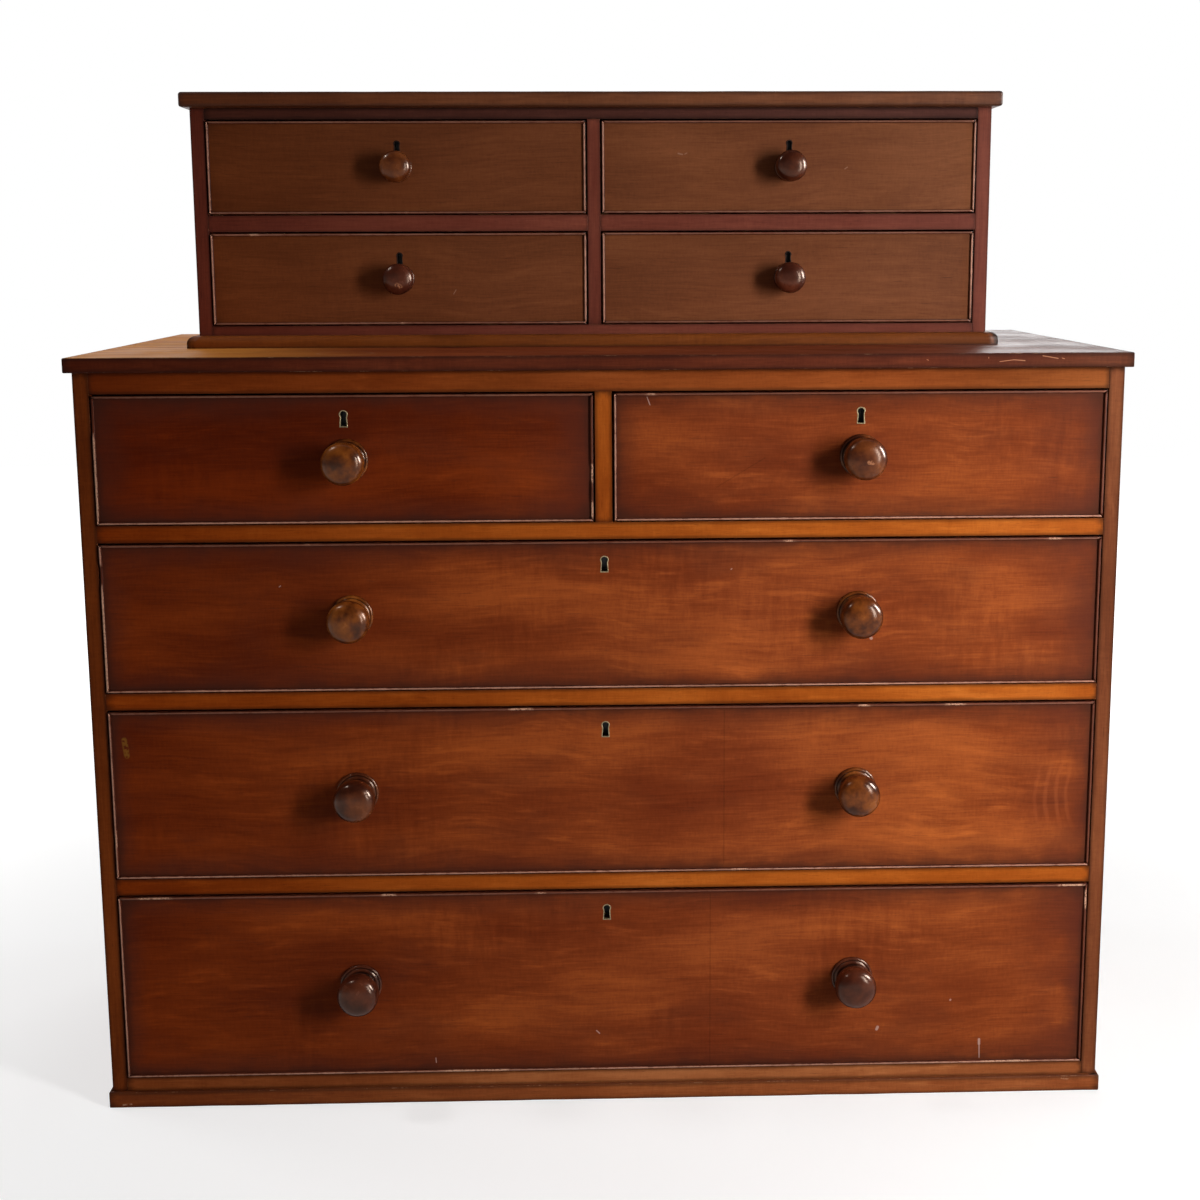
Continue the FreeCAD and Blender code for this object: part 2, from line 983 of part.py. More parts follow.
def all_drawers():
    """Nine drawers, named from the top of the chest down."""
    drawers = []
    small_width = upper_inner_half - upper_divider_width / 2
    for row, level in (("top", small_high_level), ("low", small_low_level)):
        for side, sign in (("left", -1), ("right", 1)):
            centre = upper_offset + sign * small_centre
            drawers.append(
                Drawer(
                    f"small_{row}_{side}",
                    upper_maker,
                    centre,
                    small_width,
                    level,
                    small_opening_height,
                    (0,),
                )
            )
    short_width = inner_half - divider_width / 2
    for side, sign in (("left", -1), ("right", 1)):
        drawers.append(
            Drawer(
                f"short_{side}",
                lower_maker,
                sign * short_centre,
                short_width,
                short_level,
                short_opening_height,
                (0,),
            )
        )
    for name, level, height in (
        ("long_top", long_top_level, long_top_opening_height),
        ("long_middle", long_middle_level, long_middle_opening_height),
        ("long_bottom", long_bottom_level, long_bottom_opening_height),
    ):
        drawers.append(
            Drawer(
                name,
                lower_maker,
                0,
                2 * inner_half,
                level,
                height,
                (-short_centre, short_centre),
                has_muntin=True,
            )
        )
    return drawers


# ------------------------------------------------------------------ assembly
def case_nodes(drawers):
    """Every fixed piece of both cases, by node name."""
    upper_drawers = [d for d in drawers if d.maker is upper_maker]
    lower_drawers = [d for d in drawers if d.maker is lower_maker]
    high_small = [d for d in upper_drawers if d.level == small_high_level]
    low_small = [d for d in upper_drawers if d.level == small_low_level]
    rails = lower_rails(lower_drawers)
    lower_strips = lower_runners()
    kickers = lower_kickers()
    left_side = lower_side(rails + lower_strips + kickers)

    frieze = upper_frieze_rail(high_small)
    middle_rails = upper_middle_rails(low_small)
    bottom_rail = upper_bottom_rail()
    upper_strips = upper_runners()
    bottom_board = upper_bottom_board()
    upper_left = upper_side([frieze, bottom_rail, bottom_board] + middle_rails + upper_strips)
    return {
        "plinth_frame": plinth_frame(),
        "lower_side_left": [left_side],
        "lower_side_right": [mirrored(left_side, 0)],
        "lower_top": [lower_top()],
        "lower_top_rail": rails[:1],
        "lower_dividing_rails": rails[1:4],
        "lower_bottom_rail": rails[4:],
        "lower_divider": [lower_divider()],
        "lower_runners": lower_strips,
        "lower_kickers": kickers,
        "lower_drawer_stops": [s for d in lower_drawers for s in drawer_stops(d)],
        "lower_back_boards": lower_back_boards(),
        "upper_side_left": [upper_left],
        "upper_side_right": [mirrored(upper_left, upper_offset)],
        "upper_lid": [upper_lid()],
        "upper_frieze_rail": [frieze],
        "upper_middle_rails": middle_rails,
        "upper_bottom_rail": [bottom_rail],
        "upper_divider": [without(upper_divider_post(), middle_rails)],
        "upper_runners": upper_strips,
        "upper_drawer_stops": [s for d in upper_drawers for s in drawer_stops(d)],
        "upper_bottom_board": [bottom_board],
        "upper_back_panel": [upper_back_panel()],
        "upper_base_moulding": base_moulding(),
    }


def drawer_nodes(drawer):
    """The four nodes of one drawer, by node name."""
    bottom = drawer_bottom(drawer)
    return {
        f"{drawer.name}_front": drawer_front(drawer, bottom),
        f"{drawer.name}_box": drawer_box(drawer, bottom),
        f"{drawer.name}_lock": [lock(drawer)],
        f"{drawer.name}_bolt": [bolt_slot(drawer, 0)],
    }


def all_nodes():
    drawers = all_drawers()
    nodes = case_nodes(drawers)
    for drawer in drawers:
        nodes.update(drawer_nodes(drawer))
    return nodes


# The origin is midway between the tips of the lower knobs and the back.
origin_shift = Vector(0, (knob_tip(large_knob) - case_depth) / 2, 0)


def write(nodes):
    os.makedirs("parts", exist_ok=True)
    for name, solids in nodes.items():
        group = Part.makeCompound(solids) if len(solids) > 1 else solids[0]
        group.translate(origin_shift)
        group.exportStep(f"parts/{name}.step")


write(all_nodes())
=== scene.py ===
import math
import random

import bmesh
import bpy
from mathutils import Matrix, Vector, noise


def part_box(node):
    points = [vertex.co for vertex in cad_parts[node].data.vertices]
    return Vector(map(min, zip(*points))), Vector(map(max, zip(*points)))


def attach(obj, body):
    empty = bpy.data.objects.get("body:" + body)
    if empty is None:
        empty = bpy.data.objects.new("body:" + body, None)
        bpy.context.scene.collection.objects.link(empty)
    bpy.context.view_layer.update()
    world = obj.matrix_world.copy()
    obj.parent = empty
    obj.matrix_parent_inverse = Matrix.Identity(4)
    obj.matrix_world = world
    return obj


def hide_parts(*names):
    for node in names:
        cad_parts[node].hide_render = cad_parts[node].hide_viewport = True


# The looks of a nine-drawer mahogany chest: worn cock beads, turned knobs, flamed
# drawer fronts.  Everything is in metres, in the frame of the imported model, and
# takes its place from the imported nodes.

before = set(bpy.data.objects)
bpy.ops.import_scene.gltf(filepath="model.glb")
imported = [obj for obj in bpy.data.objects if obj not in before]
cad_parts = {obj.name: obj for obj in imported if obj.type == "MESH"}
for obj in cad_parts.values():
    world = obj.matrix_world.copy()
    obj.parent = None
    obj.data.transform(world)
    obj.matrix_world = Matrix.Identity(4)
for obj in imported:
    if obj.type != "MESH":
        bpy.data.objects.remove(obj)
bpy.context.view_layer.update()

LOWER_DRAWERS = ("short_left", "short_right", "long_top", "long_middle", "long_bottom")
UPPER_DRAWERS = ("small_top_left", "small_top_right", "small_low_left", "small_low_right")
X, Y, Z = 0, 1, 2

MM = 0.001
# The gaps between a front and the rails under and over it.
GAP_BELOW = 1.5 * MM
GAP_ABOVE = 2.0 * MM
# How far a front's board stays inside its node's box.
FLUSH = 0.05 * MM
# How far a cutter reaches past what it cuts.
PAST = 5.0 * MM

lower_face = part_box("lower_bottom_rail")[0].y
upper_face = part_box("upper_frieze_rail")[0].y


# ---- mesh helpers
def mesh_object(name, points, faces):
    mesh = bpy.data.meshes.new(name)
    mesh.from_pydata([tuple(p) for p in points], [], faces)
    mesh.validate()
    mesh.update()
    piece = bpy.data.objects.new(name, mesh)
    bpy.context.scene.collection.objects.link(piece)
    return piece


def closed_object(name, points, faces):
    """A closed mesh with every face turned outwards."""
    piece = mesh_object(name, points, faces)
    bm = bmesh.new()
    bm.from_mesh(piece.data)
    bmesh.ops.recalc_face_normals(bm, faces=bm.faces)
    bm.to_mesh(piece.data)
    bm.free()
    return piece


def loft(size, rings, closed=False):
    """Quads between rings of points, and from the last ring back to the first where it is closed."""
    faces = []
    for ring in range(rings if closed else rings - 1):
        here = ring * size
        other = (ring + 1) % rings * size
        for i in range(size):
            j = (i + 1) % size
            faces.append((here + i, here + j, other + j, other + i))
    return faces


def capped_loft(size, rings):
    last = (rings - 1) * size
    return [tuple(range(size)), tuple(range(last, last + size))] + loft(size, rings)


def baked_down(piece):
    """Applies the piece's modifiers, so that its mesh is final."""
    graph = bpy.context.evaluated_depsgraph_get()
    graph.update()
    final = bpy.data.meshes.new_from_object(piece.evaluated_get(graph))
    old = piece.data
    piece.modifiers.clear()
    piece.data = final
    bpy.data.meshes.remove(old)
    final.name = piece.name


def smooth(piece):
    """Smooth shading that leaves the large faces flat."""
    for polygon in piece.data.polygons:
        polygon.use_smooth = True
    modifier = piece.modifiers.new("weighted", "WEIGHTED_NORMAL")
    modifier.weight = 80
    baked_down(piece)


def cut(piece, cutters):
    """Takes closed shapes out of a piece, and deletes them."""
    for cutter in cutters:
        modifier = piece.modifiers.new("cut", "BOOLEAN")
        modifier.operation = "DIFFERENCE"
        modifier.solver = "EXACT"
        modifier.object = cutter
    baked_down(piece)
    for cutter in cutters:
        bpy.data.objects.remove(cutter)


def block(lo, hi):
    """A plain box to cut with."""
    points = [(x, y, z) for x in (lo[0], hi[0]) for y in (lo[1], hi[1]) for z in (lo[2], hi[2])]
    faces = [(0, 1, 3, 2), (4, 6, 7, 5), (0, 4, 5, 1), (2, 3, 7, 6), (0, 2, 6, 4), (1, 5, 7, 3)]
    return closed_object("cutter", points, faces)


def give(piece, **values):
    """Point attributes of a mesh: a number or a vector for each of its points."""
    for name, row in values.items():
        vectors = isinstance(row[0], Vector)
        layer = piece.data.attributes.new(name, "FLOAT_VECTOR" if vectors else "FLOAT", "POINT")
        if vectors:
            layer.data.foreach_set("vector", [number for vector in row for number in vector])
        else:
            layer.data.foreach_set("value", row)


def grain_start(seed, reach):
    """Where in the endless wood a piece's grain starts."""
    draw = random.Random(seed)
    return Vector([draw.uniform(0, reach) for _ in range(3)])


def dress(piece, lo, hi, along, seed, shade=0.0):
    """Gives a board what its material reads: its grain, where its edges are and its shade."""
    centre = (Vector(lo) + Vector(hi)) / 2
    half = (Vector(hi) - Vector(lo)) / 2
    across, through = sorted((a for a in (X, Y, Z) if a != along), key=lambda a: -half[a])
    start = grain_start(seed, 20)
    places = [vertex.co - centre for vertex in piece.data.vertices]
    grain = [start + Vector((here[along], here[across], here[through])) for here in places]
    give(piece, grain=grain, place=places, half=[half] * len(places), shade=[shade] * len(places))


def wander(seed, distance, pitch):
    """A smooth random value from -1 to 1 along a line."""
    return noise.noise(Vector((seed * 7.31, distance / pitch, seed * 1.7)))


def clamped(value):
    return max(0.0, min(1.0, value))


def rounded_ring(half_a, half_b, radii, steps):
    """A rectangle with rounded corners, each with its own radius, as points (a, b)."""
    ring = []
    for corner, (sign_a, sign_b) in enumerate(((1, 1), (-1, 1), (-1, -1), (1, -1))):
        radius = radii[corner]
        for step in range(steps + 1):
            angle = math.pi / 2 * (corner + step / steps)
            a = sign_a * (half_a - radius) + radius * math.cos(angle)
            b = sign_b * (half_b - radius) + radius * math.sin(angle)
            ring.append((a, b))
    return ring


def board(name, lo, hi, along, radius, seed, uneven=0.5, pitch=0.02, steps=3, cutters=(), shade=0.0):
    """A board whose rounded arrises vary a little along its length."""
    lo = Vector(lo)
    hi = Vector(hi)
    centre = (lo + hi) / 2
    half = (hi - lo) / 2
    a, b = [axis for axis in (X, Y, Z) if axis != along]
    length = 2 * half[along]
    count = max(2, round((length - 2 * radius) / pitch))
    end_angles = (0, math.pi / 6, math.pi / 3)
    stations = [(radius * (1 - math.cos(t)), radius * (1 - math.sin(t))) for t in end_angles]
    stations += [(radius + (length - 2 * radius) * i / count, 0.0) for i in range(count + 1)]
    stations += [(length - depth, inset) for depth, inset in reversed(stations[:3])]
    points = []
    for distance, inset in stations:
        radii = []
        for corner in range(4):
            varied = radius * (1 + uneven * wander(seed + 13 * corner, distance, 0.05))
            radii.append(max(0.15 * radius, varied - inset))
        for p, q in rounded_ring(half[a] - inset, half[b] - inset, radii, steps):
            point = Vector(centre)
            point[along] += distance - half[along]
            point[a] += p
            point[b] += q
            points.append(point)
    piece = closed_object(name, points, capped_loft(4 * (steps + 1), len(stations)))
    if cutters:
        cut(piece, cutters)
    dress(piece, lo, hi, along, seed, shade)
    smooth(piece)
    return piece


def fit(piece, body, slot, look, *nodes):
    """Puts a finished piece on its body, in place of its CAD nodes."""
    piece.data.materials.clear()
    piece.data.materials.append(materials[look])
    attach(piece, body)
    if nodes:
        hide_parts(*nodes)


# ---- material helpers
def tone(red, green, blue):
    """A colour as it looks on a screen, 0 to 255, made linear."""
    shares = (red / 255, green / 255, blue / 255)
    return (*[c / 12.92 if c <= 0.04045 else ((c + 0.055) / 1.055) ** 2.4 for c in shares], 1.0)


def arithmetic(operation, swapped=False):
    def work(self, other=None):
        return self.paint.math(operation, *((other, self) if swapped else (self, other)))

    return work


class Value:
    """What a node gives out.  Arithmetic with it adds the nodes that work out the result."""

    def __init__(self, paint, socket):
        self.paint = paint
        self.socket = socket

    __add__ = arithmetic("ADD")
    __sub__ = arithmetic("SUBTRACT")
    __rsub__ = arithmetic("SUBTRACT", swapped=True)
    __mul__ = arithmetic("MULTIPLY")
    __abs__ = arithmetic("ABSOLUTE")
    most = arithmetic("MAXIMUM")
    least = arithmetic("MINIMUM")

    def step(self, low, high, start=0.0, end=1.0):
        """Goes smoothly from start to end as the value goes from low to high."""
        inputs = {"Value": self, "From Min": low, "From Max": high, "To Min": start, "To Max": end}
        return self.paint.node("MapRange", inputs, "Result", interpolation_type="SMOOTHSTEP")


class Paint:
    """The nodes of a material or a world, with a short call for each kind, and the colour so far."""

    def __init__(self, owner):
        """The owner is a world, or the name of a new material."""
        self.owner = owner = bpy.data.materials.new(owner) if isinstance(owner, str) else owner
        owner.use_nodes = True
        self.nodes = owner.node_tree.nodes
        self.links = owner.node_tree.links

    def put(self, value, socket):
        if isinstance(value, Value):
            self.links.new(value.socket, socket)
        elif value is not None:
            socket.default_value = value

    def make(self, kind, inputs=(), **settings):
        """A new node; its inputs go by number, or by name where they are a dict."""
        node = self.nodes.new("ShaderNode" + kind)
        for key, value in settings.items():
            setattr(node, key, value)
        for key, value in inputs.items() if isinstance(inputs, dict) else enumerate(inputs):
            self.put(value, node.inputs[key])
        return node

    def node(self, kind, inputs=(), output=0, **settings):
        return Value(self, self.make(kind, inputs, **settings).outputs[output])

    def math(self, operation, a, b=None):
        return self.node("Math", (a, b), operation=operation)

    def vector(self, operation, a, b=None):
        output = "Value" if operation == "LENGTH" else "Vector"
        inputs = {0: a, ("Scale" if operation == "SCALE" else 1): b}
        return self.node("VectorMath", inputs, output, operation=operation)

    def parts(self, vector):
        return [Value(self, socket) for socket in self.make("SeparateXYZ", (vector,)).outputs]

    def joined(self, x, y, z):
        return self.node("CombineXYZ", (x, y, z))

    def attribute(self, name, output="Vector"):
        return self.node("Attribute", (), output, attribute_name=name)

    def place(self, output="Object"):
        return self.node("TexCoord", (), output)

    def xyz(self, output="Object"):
        return self.parts(self.place(output))

    def noise(self, vector, scale, detail=2.0, roughness=0.5):
        """The scale is one number, or one for each direction."""
        if isinstance(scale, tuple):
            vector, scale = self.vector("MULTIPLY", vector, scale), 1.0
        inputs = {"Vector": vector, "Scale": scale, "Detail": detail, "Roughness": roughness}
        return self.node("TexNoise", inputs, "Fac")

    def mix(self, amount, a, b, blend="MIX", kind="RGBA"):
        inputs = {"Factor": amount, "A": a, "B": b}
        return self.node("Mix", inputs, "Result", data_type=kind, blend_type=blend)

    def cover(self, amount, *shade):
        """Lays a tone over the paint's colour, by some amount."""
        self.colour = self.mix(amount, self.colour, tone(*shade))

    def tint(self, amount, factors):
        """Multiplies the paint's colour, by some amount."""
        self.colour = self.mix(amount, self.colour, factors, "MULTIPLY")

    def ramp(self, value, *stops):
        """Colours by value; those of three numbers are tones."""
        node = self.make("ValToRGB", (value,))
        node.color_ramp.interpolation = "B_SPLINE"
        elements = node.color_ramp.elements
        while len(elements) < len(stops):
            elements.new(0.5)
        for element, (position, colour) in zip(elements, stops):
            element.position = position
            element.color = colour if len(colour) == 4 else tone(*colour)
        return Value(self, node.outputs["Color"])

    def bump(self, height, distance, normal=None, strength=1.0):
        inputs = {"Strength": strength, "Distance": distance, "Height": height, "Normal": normal}
        return self.node("Bump", inputs, "Normal")

    def strokes(self, rows):
        """1 on thin lines, each from one place (x, z) of the rest position to another, 0 elsewhere."""
        x, _, z = self.xyz()
        total = None
        for x0, z0, x1, z1, width in rows:
            start, end = Vector((x0, z0)), Vector((x1, z1))
            middle = (start + end) / 2
            way = (end - start).normalized()
            a, b = x - middle.x, z - middle.y
            off = b * way.x - a * way.y
            past = (abs(a * way.x + b * way.y) - (end - start).length / 2).most(0.0)
            distance = self.math("SQRT", past * past + off * off)
            line = distance.step(0.5 * width, width, 1.0, 0.0)
            total = total.most(line) if total else line
        return total

    def finish(self, roughness, normal=None, specular=0.5, metallic=0.0, sheen=(1, 1, 1)):
        inputs = {
            "Base Color": self.colour,
            "Roughness": roughness,
            "Normal": normal,
            "Specular IOR Level": specular,
            "Specular Tint": (*sheen, 1),
            "Metallic": metallic,
        }
        for key, value in inputs.items():
            self.put(value, self.nodes["Principled BSDF"].inputs[key])
        return self.owner


# ---- wood
def edge_distance(paint):
    """How far a board's surface point is from its nearest arris, and from its nearest corner."""
    inner = paint.vector("ABSOLUTE", paint.attribute("place"))
    x, y, z = paint.parts(paint.vector("SUBTRACT", paint.attribute("half"), inner))
    low = x.least(y).least(z)
    high = x.most(y).most(z)
    total = x + y + z
    return total - low - high, total - low


def grain_figure(paint, grain, ripple, figure):
    """The colour value of mahogany, 0 dark to 1 light, its open pores and its fine streaks."""
    along, across, through = paint.parts(grain)
    bent = paint.joined(along, across + (paint.noise(grain, 4.0) - 0.5) * 0.06, through)

    def marks(length, width, detail, roughness=0.5, place=grain):
        """Noise whose marks are about this long and wide, in metres."""
        return paint.noise(place, (1 / length, 1 / width, 1 / width), detail, roughness)

    broad = marks(0.26, 0.075, 3.0, 0.55, bent)
    fleck = marks(0.060, 0.011, 3.0, 0.6, bent).step(0.50, 0.80) * marks(0.20, 0.10, 1.0).step(0.36, 0.60)
    streak = marks(0.10, 0.0042, 3.0, 0.6, bent)
    fine = marks(0.035, 0.0015, 2.0, 0.6)
    curl = (marks(0.009, 0.05, 2.0) - 0.5) * paint.noise(grain, 6.0, 1.0).step(0.5, 0.68)
    ray = marks(0.0022, 0.010, 2.0, 0.6)
    value = (broad - 0.5) * figure + 0.42 + fleck * (0.22 * figure)
    value = value + (streak - 0.5) * 0.34 + (fine - 0.5) * 0.34 + curl * ripple + (ray - 0.5) * 0.20
    dashes = marks(0.030, 0.0016, 1.0).step(0.70, 0.78)
    pores = marks(0.0075, 0.00055, 1.0).step(0.64, 0.74)
    return value, dashes.most(pores), streak


# What a board of full shade keeps of its red, green and blue.
DARKER = (0.62, 0.42, 0.30, 1.0)
# The length of the chest, over which its colour and its painted light change.
CHEST_LENGTH = 1.2


def mahogany(
    name, dark, middle, light, fade_and_painted_light, haze=None, grime=(30, 16, 12), grime_reach=0.012,
    grime_strength=0.75, bare=(176, 122, 84), wear=0.35, wear_reach=0.0009, ripple=0.3, figure=1.0,
    roughness=(0.38, 0.56), specular=0.08, sheen=(1, 1, 1), marks=None,
):
    """Polished mahogany with dirt along its edges. Across the chest its colour holds real fading and
    painted light:
    painted shade at the left end, and on some boards a painted pale reflection of the window at the right
    end.
    """
    paint = Paint(name)
    grain = paint.attribute("grain")
    value, pores, streak = grain_figure(paint, grain, ripple, figure)
    paint.colour = paint.ramp(value, (0.15, dark), (0.5, middle), (0.85, light))
    # Across the chest: real fading, with painted shade at the left end and on some boards a painted pale
    # reflection at the right.
    across_chest = paint.xyz()[X] * (1 / CHEST_LENGTH) + 0.5
    tint = paint.ramp(across_chest, *[(0.5 * number, (*share, 1)) for number, share in enumerate(fade_and_painted_light)])
    paint.tint(1.0, tint)
    paint.tint(paint.attribute("shade", "Fac"), DARKER)
    edge, corner = edge_distance(paint)
    cloud = paint.noise(grain, 26.0, 3.0, 0.6)
    patch = paint.noise(grain, 7.0, 2.0, 0.6)
    if haze:
        smoke = paint.noise(grain, (7.0, 16.0, 16.0), 4.0, 0.6).step(0.50, 0.72, 0.0, 0.55)
        paint.cover(smoke * 0.45, *haze)
        hazy = edge.step(0.002, patch * 0.075, 1.0, 0.0) * (cloud * 0.7 + 0.25)
        paint.cover(hazy, *haze)
    dirt = edge.step(0.15 * grime_reach, cloud * (1.6 * grime_reach) + 0.4 * grime_reach, 1.0, 0.0)
    corner_reach = patch * (7.0 * grime_reach) + 0.5 * grime_reach
    corner_dirt = corner.step(0.5 * grime_reach, corner_reach, 1.0, 0.0)
    dirt = (dirt * 0.75).most(corner_dirt) * grime_strength
    paint.cover(pores * 0.3, *grime)
    if marks:
        marks(paint)
    paint.cover(dirt, *grime)
    fray = paint.noise(grain, 95.0, 3.0, 0.7)
    worn = edge.step(0.0, fray.step(0.38, 0.72) * wear_reach, 1.0, 0.0)
    paint.cover(worn * wear, *bare)
    gloss = paint.noise(grain, 11.0, 4.0, 0.65).step(0.3, 0.7, *roughness) + dirt * 0.15
    normal = paint.bump(paint.noise(grain, 14.0, 1.0), 0.0012, strength=0.35)
    normal = paint.bump(streak, 0.00012, normal, 0.5)
    normal = paint.bump(1.0 - pores, 0.00006, normal, 0.6)
    return paint.finish(gloss, normal, specular, sheen=sheen)


# Marks on the fronts, the top and the plinth: from (x, z) to (x, z), and width, in metres.
JOINS = (
    (0.141, 0.3, 0.141, 0.49, 0.001),
    (0.125, 0.045, 0.125, 0.262, 0.001),
    (0.131, 0.757, 0.187, 0.791, 0.0009),
)
FRONT_SCRATCHES = (
    (0.4571, 0.067, 0.4578, 0.044, 0.0008),
    (0.457, 0.068, 0.4572, 0.062, 0.0019),
    (0.33, 0.0835, 0.3312, 0.0865, 0.0022),
    (-0.0135, 0.088, -0.01, 0.0845, 0.001),
    (0.0503, 0.8622, 0.0537, 0.853, 0.0007),
    (0.314, 0.576, 0.3143, 0.5755, 0.0024),
    (-0.378, 0.644, -0.3764, 0.6452, 0.0007),
    (0.148, 0.66, 0.149, 0.6606, 0.0008),
    (0.42, 0.12, 0.4203, 0.1205, 0.0015),
    (-0.21, 0.056, -0.2096, 0.05, 0.0007),
)
FRONT_SCRAPE = ((-0.566, 0.462, -0.564, 0.443, 0.0042),)
SMALL_FRONT_SCRATCHES = (
    (0.096, 1.146, 0.101, 1.1448, 0.0012),
    (0.104, 1.1452, 0.1065, 1.1465, 0.0008),
    (0.302, 1.127, 0.305, 1.129, 0.0009),
    (-0.183, 0.976, -0.18, 0.981, 0.0007),
)
TOP_EDGE_SCRATCHES = (
    (0.4541, 0.9012, 0.47, 0.9032, 0.0006),
    (0.47, 0.9032, 0.4829, 0.9022, 0.0007),
    (0.5035, 0.9076, 0.521, 0.9046, 0.0007),
    (0.526, 0.9048, 0.5285, 0.904, 0.0005),
    (0.37, 0.904, 0.372, 0.9032, 0.0005),
    (0.441, 0.9062, 0.4412, 0.905, 0.0005),
)
PLINTH_CHIPS = (
    (0.606, 0.0172, 0.6086, 0.0168, 0.0022),
    (0.6084, 0.012, 0.6082, 0.009, 0.0016),
    (0.56, 0.0165, 0.568, 0.016, 0.0012),
    (-0.59, 0.004, -0.58, 0.005, 0.0014),
)
KNOB_NICKS = (
    (0.3, 0.7905, 0.304, 0.79, 0.003),
    (-0.249, 0.988, -0.245, 0.986, 0.0034),
)
# Ring marks of cups on the lower top (x, y and radius), and its height.
CUP_RINGS = ((0.545, -0.05, 0.035), (-0.552, 0.02, 0.04), (0.56, 0.16, 0.03), (-0.3, -0.2, 0.032))
TOP_SURFACE = 0.911
# The middle of the ripples in the polish at the right end of the second long drawer.
RIPPLE_MIDDLE = (0.597, 0.0, 0.383)


def front_marks(paint):
    """What has happened to the lower drawer fronts: joins, ripples, nicks and scratches."""
    place = paint.place()
    height = paint.parts(place)[Z]
    paint.cover(paint.strokes(JOINS) * 0.22, 42, 12, 8)
    # Darker in patches towards each front's right end.
    right = paint.parts(paint.attribute("half"))[X] - paint.parts(paint.attribute("place"))[X]
    right_end_dark = right.step(0.0, 0.11, 0.6, 0.0) * paint.noise(place, 22.0, 3.0).step(0.3, 0.6, 0.3, 1.0)
    paint.cover(right_end_dark, 86, 40, 30)
    away = paint.vector("MULTIPLY", paint.vector("SUBTRACT", place, RIPPLE_MIDDLE), (1.0, 0.0, 0.62))
    bend = paint.vector("SCALE", paint.joined(paint.noise(place, 30.0), 0.0, 0.0), 0.01)
    radius = paint.vector("LENGTH", paint.vector("ADD", away, bend))
    rings = paint.math("SINE", radius * 520.0).step(-0.2, 1.0)
    near = radius.step(0.03, 0.042) * radius.step(0.068, 0.09, 1.0, 0.0)
    near = near * height.step(0.335, 0.36) * height.step(0.40, 0.43, 1.0, 0.0)
    paint.cover(rings * near * 0.2, 186, 98, 52)
    paint.cover(paint.strokes(FRONT_SCRATCHES) * 0.65, 206, 168, 152)
    scrape = paint.strokes(FRONT_SCRAPE) * 0.7 * paint.noise(place, 240.0).step(0.35, 0.55)
    paint.cover(scrape, 146, 98, 36)


def small_front_marks(paint):
    paint.cover(paint.strokes(SMALL_FRONT_SCRATCHES) * 0.55, 170, 128, 104)


def top_marks(paint):
    """The lower top: its upward face painted lighter, with painted warm light at its left end
    and a painted grey reflection of the window at its right end, ring marks and a scratched edge.
    """
    place = paint.place()
    x, y, _ = paint.parts(place)
    upward = paint.xyz("Normal")[Z].step(0.6, 0.9)
    # Painted light: the upward face is made much lighter than the edge.
    paint.tint(upward * 0.9, (1.8, 1.7, 1.2, 1))
    streaks = paint.noise(paint.attribute("grain"), (4.0, 55.0, 55.0), 4.0, 0.65)
    along = x + (streaks * 0.30 + paint.noise(place, 6.0, 3.0) * 0.24)
    # Painted warm light and reflection on the upward face, fading out from the left end.
    painted_warm_light = upward * along.step(-0.28, 0.10, 1.0, 0.0) * 0.85
    warm_lit_wood = paint.mix(streaks.step(0.3, 0.7), tone(196, 114, 38), tone(244, 168, 76))
    paint.colour = paint.mix(painted_warm_light, paint.colour, warm_lit_wood)
    # Painted grey reflection of the window on the upward face towards the right end.
    paint.cover(upward * along.step(0.58, 0.86) * 0.34, 120, 124, 126)
    rings = None
    for ring_x, ring_y, size in CUP_RINGS:
        off = paint.vector("LENGTH", paint.vector("SUBTRACT", place, (ring_x, ring_y, TOP_SURFACE)))
        ring = abs(off - size).step(0.0005, 0.0028, 1.0, 0.0)
        rings = rings.most(ring) if rings else ring
    paint.cover(rings * paint.noise(place, 60.0) * 0.4, 190, 150, 120)
    lines = paint.strokes(TOP_EDGE_SCRATCHES) * y.step(-0.2600, -0.2590, 1.0, 0.0)
    paint.cover(lines * 0.85, 190, 128, 92)


def plinth_marks(paint):
    """Chips at the front's right end, and scuffs along it."""
    chips = paint.strokes(PLINTH_CHIPS) * paint.noise(paint.place(), 300.0).step(0.35, 0.6)
    paint.cover(chips * 0.8, 206, 158, 124)


def bead_wood():
    """Cock beads: dark in their hollows, pale on the nose by an amount for each side, partly wear and
    partly a painted highlight, and bare where they are chipped.
    """
    paint = Paint("cock_bead_wood")
    grain = paint.attribute("grain")
    nose, chip, rub = [paint.attribute(name, "Fac") for name in ("nose", "chip", "rub")]
    streak = paint.noise(grain, (18.0, 700.0, 700.0), 3.0, 0.6)
    paint.colour = paint.ramp(streak, (0.2, (50, 20, 12)), (0.5, (84, 36, 20)), (0.8, (118, 56, 32)))
    # The pale nose is partly wear and partly a painted highlight, by the amount given for each side.
    worn = (nose + paint.noise(grain, 130.0, 4.0, 0.7) * 0.7).step(1.02, 1.32) * rub
    paint.cover(worn, 196, 144, 120)
    broken = paint.noise(grain, 420.0, 3.0, 0.7).step(0.36, 0.56)
    paint.cover(chip * broken, 216, 166, 136)
    return paint.finish(worn * 0.2 + 0.5, paint.bump(streak, 0.0001, strength=0.5), 0.08)


